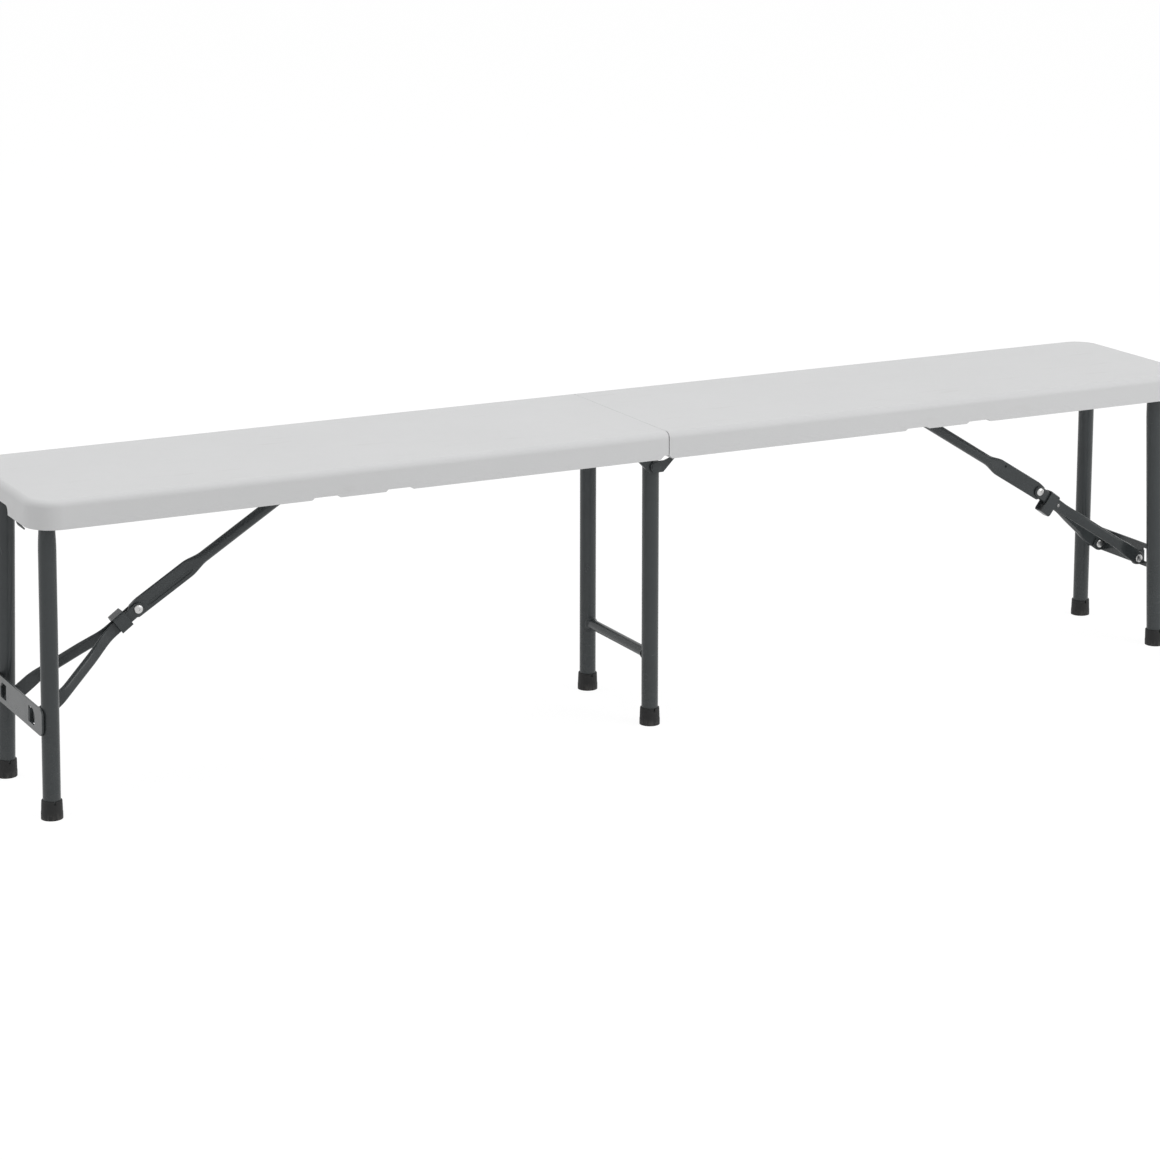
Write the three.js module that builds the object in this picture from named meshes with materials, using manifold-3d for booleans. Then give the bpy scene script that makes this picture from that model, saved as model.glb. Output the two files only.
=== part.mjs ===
// Folding bench: two moulded seat halves that fold face to face about a centre hinge, a centre leg
// frame on the same hinge pins, and an end leg frame under each half with a jointed lower and upper
// brace and a lock clip that slides over the brace's knee.
// Millimetres. X runs along the seat, Y across it and Z up; the origin is on the floor below the middle.
// Each side is drawn with X pointing outward from the seam, and the left side is the mirror image.

import * as THREE from "three";
import { mergeVertices } from "three/addons/utils/BufferGeometryUtils.js";
import Module from "manifold-3d";

const wasm = await Module();
wasm.setup();

// Seat
const seatLength = 1800;
const seatWidth = 294;
const seatHeight = 430;
const seatDepth = 37;
const seatCornerRadius = 40;
const seatEdgeRadius = 9;
const skirtEdgeRadius = 2;
const deckThickness = 6;
const skirtWall = 12;
const seamWall = 6;
const seamGap = 0.3;

// Cut-outs in the skirt's lower edge
const gripHalfWidth = 42;
const gripDepth = 12;
const gripCornerRadius = 6;
const reliefEndInsets = [498, 394];
const reliefWidth = 32;
const reliefDepth = 3;
const reliefRamp = 4;
const seamReliefWidth = 7.5;
const seamReliefDepth = 5;

// Clearances
const gap = 0.3;
const pinClearance = 0.3;
const overrun = 5;

// End leg frames
const legRadius = 11.75;
const legWall = 1.2;
const legTopRadius = 9.5;
const legTaperLength = 60;
const legPivotEndInset = 38;
const legPivotBelowTop = 18;
const legFootEndInset = 23.5;
const legTopSideInset = 62.9;
const legFootSideInset = 50.8;
const legFoldDegrees = 90;
const crownReachShares = [1, 0.8, 0.4];
const crownWidthShares = [0.5, 0.8, 1];
const legRodRadius = 5;
const legRodOverhang = 6;
const bearingOffset = 3;
const bearingThickness = 3;
const bearingHalfWidth = 11;
const bearingDrop = 8;
const bearingFlangeWidth = 25;
const bearingFlangeHalfLength = 18;
const flangeThickness = 2.5;

// Foot caps
const footHeight = 25;
const footRadius = 14.4;
const footTopRadius = 13.6;
const footSole = 3;
const footStraightShare = 1 / 3;

// Cross plate between the end legs
const plateThickness = 2.5;
const plateHeight = 36;
const plateSideInset = 45;
const plateCornerRadius = 9;
const plateDrop = 283;
const holeInnerSideInset = 100;
const holeOuterSideInset = 75;
const holeHeight = 21;
const holeSlope = 7;
const lugThickness = 2.5;
const lugReach = 10.5;

// Braces
const braceFootDrop = 286.2;
const bracePivotEndInset = 454;
const bracePivotBelowTop = 25;
const kneeRise = 8.5;
const armWidth = 16;
const armThickness = 9;
const armEndWidth = 20;
const armEndThickness = 4;
const stemWidth = 17;
const stemThickness = 3;
const stemLength = 46;
const armBendLength = 20;
const armSwellStart = 60;
const armSwellLength = 35;
const armFlatLength = 24;
const armFlatTaper = 26;
const paddleWidth = 25;
const paddleThickness = 5;
const paddleLength = 84;
const paddleHoleRadius = 2;
const paddleHoleFromKnee = 77;
const tailWidth = 12;
const tailLength = 37;
const shoulderStart = 12;
const shoulderEnd = 5;
const braceTubeRadius = 7.75;
const braceTaperLength = 28;
const braceEyeWidth = 18;
const braceEyeThickness = 7;
const braceEyeLength = 24;
const braceRodRadius = 4;
const braceRodHalfLength = 38;
const braceEarApart = 56;
const braceEarThickness = 2.5;
const braceEarHalfWidth = 13;
const braceEarDrop = 9;

// Rivets
const rivetRadius = 3;
const rivetHeadRadius = 6;
const rivetHeadHeight = 2.4;
const rivetCrown = 0.8;

// Lock clip on the brace's knee
const clipFromKnee = 20;
const clipLength = 16;
const clipInnerWidth = 20;
const clipReachBelow = 3;
const clipTravel = 50;
const clipRise = 6.5;
const clipWall = 2;
const clipCornerRadius = 3;

// Centre hinge and centre leg frame
const hingeBelowSkirt = 18;
const hingePinRadius = 4;
const hingePinHeadRadius = 7;
const hingePinHeadHeight = 2.5;
const earThickness = 3;
const earTopRise = 7.3;
const earBottomDrop = 8.5;
const earEndReach = 9;
const earEndChamfer = 4.5;
const earBottomReach = 10;
const dipHalfWidth = 12;
const dipEnd = 27;
const dipRise = 5.2;
const earRunLength = 60;
const earRunHeight = 12;
const earFlangeWidth = 16;
const centreTopSideInset = 53.2;
const centreFootSideInset = 51.7;
const centreLegTopReach = 11;
const crossbarHeight = 101;
const crossbarRadius = 7.5;

// Facets
const roundSteps = 24;
const smallSteps = 16;
const cornerSteps = 6;
const edgeSteps = 4;
const endSteps = 4;
const roundPower = 2;
const flatPower = 7;

// Worked-out levels and places
const skirtBottom = seatHeight - seatDepth;
const deckUnderside = seatHeight - deckThickness;
const flangeTop = deckUnderside - gap;
const flangeBottom = flangeTop - flangeThickness;
const seamFace = seamGap / 2;
const seatEnd = seatLength / 2;
const seatSide = seatWidth / 2;
const legPivotOut = seatEnd - legPivotEndInset;
const legFootOut = seatEnd - legFootEndInset;
const legTopOut = seatSide - legTopSideInset;
const legFootSide = seatSide - legFootSideInset;
const plateHalfLength = seatSide - plateSideInset;
const holeInner = seatSide - holeInnerSideInset;
const holeOuter = seatSide - holeOuterSideInset;
const bracePivotOut = seatEnd - bracePivotEndInset;
const centreTopOut = seatSide - centreTopSideInset;
const centreFootOut = seatSide - centreFootSideInset;
const legPivotHeight = seatHeight - legPivotBelowTop;
const bracePivotHeight = seatHeight - bracePivotBelowTop;
const hingeHeight = skirtBottom - hingeBelowSkirt;
const legSplay = Math.atan2(legFootOut - legPivotOut, legPivotHeight);
const legReach = Math.hypot(legFootOut - legPivotOut, legPivotHeight);
const stemInner = paddleThickness / 2 + gap;
const lugInner = (holeInner + holeOuter) / 2 - rivetHeadRadius - lugThickness - armEndThickness;
const armEndInner = lugInner + lugThickness + gap;
const clipInner = clipInnerWidth / 2;
const clipTop = stemWidth / 2 + gap;

const seatPlastic = new THREE.MeshStandardMaterial({ color: 0xd3d4d5, roughness: 0.55, metalness: 0 });
const frameSteel = new THREE.MeshStandardMaterial({ color: 0x434749, roughness: 0.45, metalness: 0.3 });
const footPlastic = new THREE.MeshStandardMaterial({ color: 0x2b2d2e, roughness: 0.7, metalness: 0 });
const rivetSteel = new THREE.MeshStandardMaterial({ color: 0xb9bcbd, roughness: 0.35, metalness: 0.9 });

// A closed geometry as a solid, its faces turned outward.
function solidOf(geometry) {
  const bare = geometry.index ? geometry.toNonIndexed() : geometry;
  const clean = new THREE.BufferGeometry();
  clean.setAttribute("position", bare.getAttribute("position"));
  const merged = mergeVertices(clean);
  const corners = Array.from(merged.index.array);
  const build = (triVerts) =>
    new wasm.Manifold(
      new wasm.Mesh({
        numProp: 3,
        vertProperties: merged.attributes.position.array,
        triVerts: new Uint32Array(triVerts),
      }),
    );
  const made = build(corners);
  return made.volume() < 0 ? build(corners.reverse()) : made;
}

// The surface of a solid as a geometry.
function surfaceOf(solid) {
  const mesh = solid.getMesh();
  const points = [];
  for (let i = 0; i < mesh.numVert; i++) {
    points.push(...mesh.vertProperties.subarray(i * mesh.numProp, i * mesh.numProp + 3));
  }
  const geometry = new THREE.BufferGeometry();
  geometry.setAttribute("position", new THREE.Float32BufferAttribute(points, 3));
  geometry.setIndex(Array.from(mesh.triVerts));
  const faceted = geometry.toNonIndexed();
  faceted.computeVertexNormals();
  return faceted;
}

// A named mesh made of one solid less its cuts.
function piece(name, material, body, cuts = []) {
  let solid = body;
  for (const cut of cuts) {
    solid = solid.subtract(cut);
  }
  const mesh = new THREE.Mesh(surfaceOf(solid), material);
  mesh.name = name;
  return mesh;
}

// A solid skinned over rings of points that all hold the same count, with flat caps at both ends.
function loft(rings) {
  const count = rings[0].length;
  const points = rings.flat().flatMap((p) => [p.x, p.y, p.z]);
  const corners = [];
  for (let r = 0; r < rings.length - 1; r++) {
    for (let i = 0; i < count; i++) {
      const next = (i + 1) % count;
      const a = r * count + i;
      const b = r * count + next;
      corners.push(a, b, b + count, a, b + count, a + count);
    }
  }
  const last = (rings.length - 1) * count;
  for (let i = 1; i < count - 1; i++) {
    corners.push(0, i + 1, i, last, last + i, last + i + 1);
  }
  const geometry = new THREE.BufferGeometry();
  geometry.setAttribute("position", new THREE.Float32BufferAttribute(points, 3));
  geometry.setIndex(corners);
  return solidOf(geometry);
}

// A ring across X at one station of a bar: centred at y and z, with its width along Z and its
// thickness along Y. The power runs from 2 for an oval to 7 for a flat bar with rounded corners.
function barRing(x, y, z, width, thickness, power, steps = smallSteps) {
  const ring = [];
  for (let i = 0; i < steps; i++) {
    const angle = (i / steps) * 2 * Math.PI;
    const across = Math.sign(Math.cos(angle)) * Math.abs(Math.cos(angle)) ** (2 / power);
    const along = Math.sign(Math.sin(angle)) * Math.abs(Math.sin(angle)) ** (2 / power);
    ring.push(new THREE.Vector3(x, y + (across * thickness) / 2, z + (along * width) / 2));
  }
  return ring;
}

// Stations that close a flat bar with a half-round end, from its tip at x = tip back to its centre.
function roundedEnd(tip, centre, width) {
  const stations = [];
  for (let i = 0; i <= endSteps; i++) {
    const angle = ((i + 0.5) / (endSteps + 0.5)) * (Math.PI / 2);
    stations.push({ x: centre + (tip - centre) * Math.cos(angle), width: width * Math.sin(angle) });
  }
  return stations;
}

// A bar from stations of x, y, width, thickness and power; what a station leaves out is taken over.
function bar(stations) {
  const full = [];
  for (const station of stations) {
    full.push({ y: 0, ...full.at(-1), ...station });
  }
  return loft(full.map((s) => barRing(s.x, s.y, 0, s.width, s.thickness, s.power)));
}

// A round bar or hole along Y.
function cylinderY(radius, from, to, x = 0, z = 0, steps = smallSteps) {
  const geometry = new THREE.CylinderGeometry(radius, radius, Math.abs(to - from), steps);
  geometry.translate(x, (from + to) / 2, z);
  return solidOf(geometry);
}

// A box between two corners.
function block(low, high) {
  const geometry = new THREE.BoxGeometry(high[0] - low[0], high[1] - low[1], high[2] - low[2]);
  geometry.translate((low[0] + high[0]) / 2, (low[1] + high[1]) / 2, (low[2] + high[2]) / 2);
  return solidOf(geometry);
}

// A flat shape extruded along Z from zero.
function extruded(shape, depth) {
  return new THREE.ExtrudeGeometry(shape, { depth, bevelEnabled: false, curveSegments: cornerSteps });
}

// A prism along Y from an outline of [x, z] points or a shape.
function prismY(outline, from, to) {
  const drawn = outline instanceof THREE.Shape;
  const shape = drawn ? outline : new THREE.Shape(outline.map(([x, z]) => new THREE.Vector2(x, z)));
  const geometry = extruded(shape, to - from);
  geometry.rotateX(Math.PI / 2);
  geometry.translate(0, to, 0);
  return solidOf(geometry);
}

// A prism along X from a shape drawn in Y and Z.
function prismX(shape, from, to) {
  const geometry = extruded(shape, to - from);
  const turn = new THREE.Matrix4().makeBasis(
    new THREE.Vector3(0, 1, 0),
    new THREE.Vector3(0, 0, 1),
    new THREE.Vector3(1, 0, 0),
  );
  geometry.applyMatrix4(turn);
  geometry.translate(from, 0, 0);
  return solidOf(geometry);
}

// A rectangle with rounded corners, between two corner points.
function roundedRectangle(left, bottom, right, top, radius) {
  const shape = new THREE.Shape();
  shape.moveTo(left + radius, bottom);
  shape.lineTo(right - radius, bottom);
  shape.absarc(right - radius, bottom + radius, radius, -Math.PI / 2, 0, false);
  shape.absarc(right - radius, top - radius, radius, 0, Math.PI / 2, false);
  shape.absarc(left + radius, top - radius, radius, Math.PI / 2, Math.PI, false);
  shape.absarc(left + radius, bottom + radius, radius, Math.PI, Math.PI * 1.5, false);
  return shape;
}

// A turned piece about Z from a profile of [radius, height] points that closes on the axis.
function turned(profile, steps = roundSteps) {
  const geometry = new THREE.LatheGeometry(profile.map(([r, h]) => new THREE.Vector2(r, h)), steps);
  geometry.rotateX(Math.PI / 2);
  return solidOf(geometry);
}

// Plan outline of a seat half at one level, drawn in from its free edges and from its seam.
function seatRing(z, inset, seamInset) {
  const halfWidth = seatSide - inset;
  const end = seatEnd - inset;
  const radius = seatCornerRadius - inset;
  const ring = [new THREE.Vector3(seamFace + seamInset, -halfWidth, z)];
  for (const [side, start] of [[-1, -Math.PI / 2], [1, 0]]) {
    for (let i = 0; i <= cornerSteps; i++) {
      const angle = start + (i / cornerSteps) * (Math.PI / 2);
      ring.push(
        new THREE.Vector3(
          end - radius + radius * Math.cos(angle),
          side * (halfWidth - radius) + radius * Math.sin(angle),
          z,
        ),
      );
    }
  }
  ring.push(new THREE.Vector3(seamFace + seamInset, halfWidth, z));
  return ring;
}

// Shallow cut-out with sloped ends in the skirt's lower edge, across the whole seat.
function edgeRelief(centre, across) {
  const half = reliefWidth / 2;
  const outline = [
    [centre - half - reliefRamp, skirtBottom],
    [centre - half - reliefRamp, skirtBottom - overrun],
    [centre + half + reliefRamp, skirtBottom - overrun],
    [centre + half + reliefRamp, skirtBottom],
    [centre + half, skirtBottom + reliefDepth],
    [centre - half, skirtBottom + reliefDepth],
  ];
  return prismY(outline, -across, across);
}

// One moulded seat half: a deck with a rolled edge and a skirt, open underneath. The cut at the
// skirt's seam end is as wide as the seam relief, plus a slope as wide as the cut is deep.
function seatHalf(name, seamRelief) {
  const outside = [
    seatRing(skirtBottom, skirtEdgeRadius, 0),
    seatRing(skirtBottom + skirtEdgeRadius, 0, 0),
  ];
  for (let i = 0; i <= edgeSteps; i++) {
    const angle = (i / edgeSteps) * (Math.PI / 2);
    const rise = seatEdgeRadius * Math.sin(angle);
    const inset = seatEdgeRadius * (1 - Math.cos(angle));
    outside.push(seatRing(seatHeight - seatEdgeRadius + rise, inset, 0));
  }
  const cavity = loft([
    seatRing(skirtBottom - overrun, skirtWall, seamWall),
    seatRing(deckUnderside, skirtWall, seamWall),
  ]);
  const across = seatSide + overrun;
  const reliefs = reliefEndInsets.map((inset) => edgeRelief(seatEnd - inset, across));
  const seamCut = prismY(
    [
      [seamFace - overrun, skirtBottom - overrun],
      [seamFace + seamRelief + seamReliefDepth, skirtBottom - overrun],
      [seamFace + seamRelief + seamReliefDepth, skirtBottom],
      [seamFace + seamRelief, skirtBottom + seamReliefDepth],
      [seamFace - overrun, skirtBottom + seamReliefDepth],
    ],
    -across,
    across,
  );
  const grip = prismX(
    roundedRectangle(
      -gripHalfWidth,
      skirtBottom - gripDepth,
      gripHalfWidth,
      skirtBottom + gripDepth,
      gripCornerRadius,
    ),
    seatEnd - skirtWall - overrun,
    seatEnd + overrun,
  );
  return piece(name, seatPlastic, loft(outside), [cavity, ...reliefs, seamCut, grip]);
}

// Rivet along Y: a shank between two levels with a domed head at its outer end, and at its inner
// end too where one is asked for.
function rivet(name, x, z, shankFrom, shankTo, twoHeads, facing) {
  const head = (base, way) => [
    [rivetHeadRadius, base],
    [rivetHeadRadius, base + way * (rivetHeadHeight - rivetCrown)],
    [rivetHeadRadius - rivetCrown, base + way * rivetHeadHeight],
  ];
  const inner = twoHeads ? head(shankFrom, -1).reverse() : [];
  const innerEnd = twoHeads ? shankFrom - rivetHeadHeight : shankFrom;
  const outer = head(shankTo, 1);
  const profile = [
    [0, innerEnd],
    ...inner,
    [rivetRadius, shankFrom],
    [rivetRadius, shankTo],
    ...outer,
    [0, shankTo + rivetHeadHeight],
  ];
  const mesh = piece(name, rivetSteel, turned(profile, smallSteps));
  mesh.rotation.x = (-facing * Math.PI) / 2;
  mesh.position.set(x, 0, z);
  return mesh;
}

// Tubular leg hung from its pivot at the origin, open at its foot, with an eye for the pivot pin.
function legTube(name, topRadius, taperLength, topReach, length, lean, pinRadius) {
  const crown = crownReachShares.map((share, i) => ({
    x: topReach * share,
    width: 2 * topRadius * crownWidthShares[i],
  }));
  const outside = [
    ...crown,
    { x: -taperLength, width: 2 * legRadius },
    { x: -length, width: 2 * legRadius },
  ];
  const rings = (stations) =>
    stations.map((s) => barRing(s.x, 0, 0, s.width, s.width, roundPower, roundSteps));
  const boreRadius = legRadius - legWall;
  const bore = [
    { x: -taperLength - boreRadius, width: 2 * (topRadius - legWall) },
    { x: -taperLength - 2 * boreRadius, width: 2 * boreRadius },
    { x: -length - overrun, width: 2 * boreRadius },
  ];
  const upright = new THREE.Matrix4().makeRotationY(-Math.PI / 2).elements;
  const across = legRadius + overrun;
  const eye = cylinderY(pinRadius + pinClearance, -across, across);
  const level = eye.rotate([THREE.MathUtils.radToDeg(-lean), 0, 0]);
  const tube = loft(rings(outside)).transform(Array.from(upright));
  const hollow = loft(rings(bore)).transform(Array.from(upright));
  const mesh = piece(name, frameSteel, tube, [hollow, level]);
  mesh.rotation.x = lean;
  return mesh;
}

// Cap on a leg's foot, cut level with the floor, in the leg's own frame.
function footCap(name, floorDrop, legToSide) {
  const profile = [
    [0, -floorDrop - footRadius],
    [footRadius, -floorDrop - footRadius],
    [footRadius, -floorDrop + footHeight * footStraightShare],
    [footTopRadius, -floorDrop + footHeight - gap],
    [footTopRadius - gap, -floorDrop + footHeight],
    [legRadius + gap, -floorDrop + footHeight],
    [legRadius + gap, -floorDrop + footSole],
    [0, -floorDrop + footSole],
  ];
  const reach = footHeight + footRadius;
  const below = new THREE.BoxGeometry(2 * reach, 2 * reach, 2 * reach);
  const foot = new THREE.Vector3(0, 0, -floorDrop).applyMatrix4(legToSide);
  below.translate(foot.x, foot.y, -reach);
  below.applyMatrix4(legToSide.clone().invert());
  return piece(name, footPlastic, turned(profile), [solidOf(below)]);
}

// A pair of legs with their foot caps, hung from a pivot frame whose -Z axis runs down the legs.
function legPair(frame, toSide, names, place) {
  const lean = Math.atan2(place.footOut - place.topOut, place.drop);
  for (const [way, end] of [[-1, "front"], [1, "back"]]) {
    const leg = legTube(
      names.leg + "_" + end,
      place.topRadius,
      place.taperLength,
      place.topReach,
      place.drop / Math.cos(lean) - footSole - 2 * gap,
      way * lean,
      place.pinRadius,
    );
    leg.position.y = way * place.topOut;
    leg.updateMatrix();
    const legToSide = toSide.clone().multiply(leg.matrix);
    const foot = footCap(names.foot + "_" + end, place.drop / Math.cos(lean), legToSide);
    foot.position.copy(leg.position);
    foot.rotation.copy(leg.rotation);
    frame.add(leg, foot);
  }
}

// Flat plate across the outer side of the end legs, with two punched windows whose tongues are
// bent inward as lugs for the lower brace.
function crossPlate(name) {
  const inner = legRadius + gap;
  const outer = inner + plateThickness;
  const middle = -plateDrop;
  const sheet = prismX(
    roundedRectangle(
      -plateHalfLength,
      middle - plateHeight / 2,
      plateHalfLength,
      middle + plateHeight / 2,
      plateCornerRadius,
    ),
    inner,
    outer,
  );
  const cuts = [];
  let body = sheet;
  for (const way of [-1, 1]) {
    const window = new THREE.Shape();
    const low = middle - holeHeight / 2;
    const high = middle + holeHeight / 2;
    window.moveTo(way * holeInner, low);
    window.lineTo(way * holeOuter, low);
    window.lineTo(way * holeOuter, high - holeSlope);
    window.lineTo(way * (holeOuter - holeSlope), high);
    window.lineTo(way * holeInner, high);
    window.closePath();
    cuts.push(prismX(window, inner - overrun, outer + overrun));
    const lug = new THREE.Shape();
    lug.moveTo(outer, -braceFootDrop - lugReach);
    lug.lineTo(outer, -braceFootDrop + lugReach);
    lug.lineTo(0, -braceFootDrop + lugReach);
    lug.absarc(0, -braceFootDrop, lugReach, Math.PI / 2, Math.PI * 1.5, false);
    lug.closePath();
    const near = way * lugInner;
    const far = way * (lugInner + lugThickness);
    const tongue = prismY(lug, Math.min(near, far), Math.max(near, far));
    body = body.add(tongue);
    cuts.push(cylinderY(rivetRadius + pinClearance, -plateHalfLength, plateHalfLength, 0, -braceFootDrop));
  }
  return piece(name, frameSteel, body, cuts);
}

// Hanging bearing for the leg rod: an ear under a flange that is screwed to the deck.
function legBearing(name, way) {
  const near = legTopOut + legTopRadius + bearingOffset;
  const far = near + bearingThickness;
  const ear = prismY(
    roundedRectangle(
      legPivotOut - bearingHalfWidth,
      legPivotHeight - bearingDrop,
      legPivotOut + bearingHalfWidth,
      flangeTop,
      flangeThickness,
    ),
    near,
    far,
  );
  const flange = block(
    [legPivotOut - bearingFlangeHalfLength, near, flangeBottom],
    [legPivotOut + bearingFlangeHalfLength, near + bearingFlangeWidth, flangeTop],
  );
  const rodHole = cylinderY(
    legRodRadius + pinClearance,
    near - overrun,
    far + overrun,
    legPivotOut,
    legPivotHeight,
  );
  const mesh = piece(name, frameSteel, ear.add(flange), [rodHole]);
  mesh.scale.y = way;
  return mesh;
}

// Pivot rod through both leg eyes and both bearings.
function legRod(name) {
  const half = legTopOut + legTopRadius + bearingOffset + bearingThickness + legRodOverhang;
  return piece(name, frameSteel, cylinderY(legRodRadius, -half, half, 0, 0, smallSteps));
}

// One end leg frame: two legs, their caps, the cross plate, its rivets and the pivot rod.
function endLegFrame(side) {
  const frame = new THREE.Group();
  frame.position.set(legPivotOut, 0, legPivotHeight);
  frame.rotation.y = -legSplay;
  frame.updateMatrix();
  legPair(frame, frame.matrix, { leg: "end_leg_" + side, foot: "end_foot_" + side }, {
    topOut: legTopOut,
    footOut: legFootSide,
    drop: legReach,
    topRadius: legTopRadius,
    taperLength: legTaperLength,
    topReach: legTopRadius,
    pinRadius: legRodRadius,
  });
  frame.add(crossPlate("cross_plate_" + side));
  frame.add(legRod("leg_rod_" + side));
  for (const [way, end] of [[-1, "front"], [1, "back"]]) {
    const from = lugInner - gap;
    const to = armEndInner + armEndThickness + gap;
    frame.add(rivet("lug_rivet_" + side + "_" + end, 0, -braceFootDrop, from, to, true, way));
  }
  return frame;
}

// Places of the brace pivots in the side's X and Z. The knee lies where the braces fold flat: with
// the leg folded, both braces lie in one line from the brace pivot through the lower brace's foot.
function bracePlaces() {
  const legPivot = new THREE.Vector2(legPivotOut, legPivotHeight);
  const down = new THREE.Vector2(Math.sin(legSplay), -Math.cos(legSplay));
  const foot = legPivot.clone().addScaledVector(down, braceFootDrop);
  const folded = foot.clone().rotateAround(legPivot, THREE.MathUtils.degToRad(-legFoldDegrees));
  const pivot = new THREE.Vector2(bracePivotOut, bracePivotHeight);
  const open = foot.distanceTo(pivot);
  const shut = folded.distanceTo(pivot);
  const ratio = shut / open;
  const middle = (open * open - shut * shut) / (2 * open);
  const spread = 1 - ratio * ratio;
  const root = Math.sqrt((middle * ratio) ** 2 + spread * (middle ** 2 + kneeRise ** 2));
  const lower = (root - middle * ratio) / spread;
  const along = middle - ratio * lower;
  const way = pivot.clone().sub(foot).normalize();
  const across = new THREE.Vector2(way.y, -way.x);
  const knee = foot.clone().addScaledVector(way, along).addScaledVector(across, kneeRise);
  return { foot, knee, pivot, lower, upper: lower + shut };
}

// A frame at the knee whose X axis points outward along one brace and whose Z axis points up.
function kneeFrame(knee, outward) {
  const frame = new THREE.Group();
  frame.position.set(knee.x, 0, knee.y);
  frame.rotation.y = -Math.atan2(outward.y, outward.x);
  return frame;
}

// One arm of the lower brace, from its flat stem at the knee, bowed out to its flat end on the lug.
function braceArm(name, way, length) {
  const endInner = armEndInner;
  const bendStart = stemLength;
  const straightStart = bendStart + armBendLength;
  const straightEnd = length - armFlatLength - armBendLength;
  const flatStart = length - armFlatLength;
  const slope = (endInner - stemInner) / (armBendLength + straightEnd - straightStart);
  const innerFace = (x) => {
    if (x <= bendStart) {
      return stemInner;
    }
    if (x <= straightStart) {
      return stemInner + (slope / 2) * ((x - bendStart) ** 2 / armBendLength);
    }
    if (x <= straightEnd) {
      return stemInner + slope * (armBendLength / 2 + x - straightStart);
    }
    const left = Math.max(flatStart - x, 0);
    return endInner - (slope / 2) * (left ** 2 / armBendLength);
  };
  const swellEnd = armSwellStart + armSwellLength;
  const taperStart = flatStart - armFlatTaper;
  const sizes = [
    { x: stemLength, width: stemWidth, thickness: stemThickness, power: flatPower },
    { x: armSwellStart, width: armWidth, thickness: stemThickness, power: flatPower },
    { x: swellEnd, width: armWidth, thickness: armThickness, power: roundPower },
    { x: taperStart, width: armWidth, thickness: armThickness, power: roundPower },
    { x: flatStart, width: armEndWidth, thickness: armEndThickness, power: flatPower },
  ];
  const blended = (x) => {
    const after = sizes.findIndex((s) => s.x >= x);
    if (after <= 0) {
      return after === 0 ? sizes[0] : sizes.at(-1);
    }
    const a = sizes[after - 1];
    const b = sizes[after];
    const t = (x - a.x) / (b.x - a.x);
    return {
      width: a.width + t * (b.width - a.width),
      thickness: a.thickness + t * (b.thickness - a.thickness),
      power: a.power + t * (b.power - a.power),
    };
  };
  const levels = [stemLength];
  const bends = [
    [bendStart, straightStart],
    [straightStart, straightEnd],
    [straightEnd, flatStart],
  ];
  for (const [from, to] of bends) {
    for (let i = 1; i <= endSteps; i++) {
      levels.push(from + ((to - from) * i) / endSteps);
    }
  }
  const ring = (x, size) =>
    barRing(x, innerFace(x) + size.thickness / 2, 0, size.width, size.thickness, size.power);
  const kneeEnd = roundedEnd(-stemWidth / 2, 0, stemWidth);
  const lugEnd = roundedEnd(length + armEndWidth / 2, length, armEndWidth).reverse();
  const rings = [
    ...kneeEnd.map((s) => ring(s.x, { ...sizes[0], width: s.width })),
    ...levels.map((x) => ring(x, blended(x))),
    ...lugEnd.map((s) => ring(s.x, { ...sizes.at(-1), width: s.width })),
  ];
  const holes = [0, length].map((x) =>
    cylinderY(rivetRadius + pinClearance, -overrun, endInner + armEndThickness + overrun, x, 0),
  );
  const mesh = piece(name, frameSteel, loft(rings), holes);
  mesh.scale.y = way;
  return mesh;
}

// Lower brace: two arms, the two halves of the knee rivet and the lock clip that rests on the arms.
function lowerBrace(side, places) {
  const frame = kneeFrame(places.knee, places.foot.clone().sub(places.knee));
  for (const [way, end] of [[-1, "front"], [1, "back"]]) {
    frame.add(braceArm("brace_arm_" + side + "_" + end, way, places.lower));
    const to = stemInner + stemThickness + gap;
    frame.add(rivet("knee_rivet_" + side + "_" + end, 0, 0, stemInner, to, false, way));
  }
  frame.add(lockClip("lock_clip_" + side));
  return frame;
}

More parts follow.
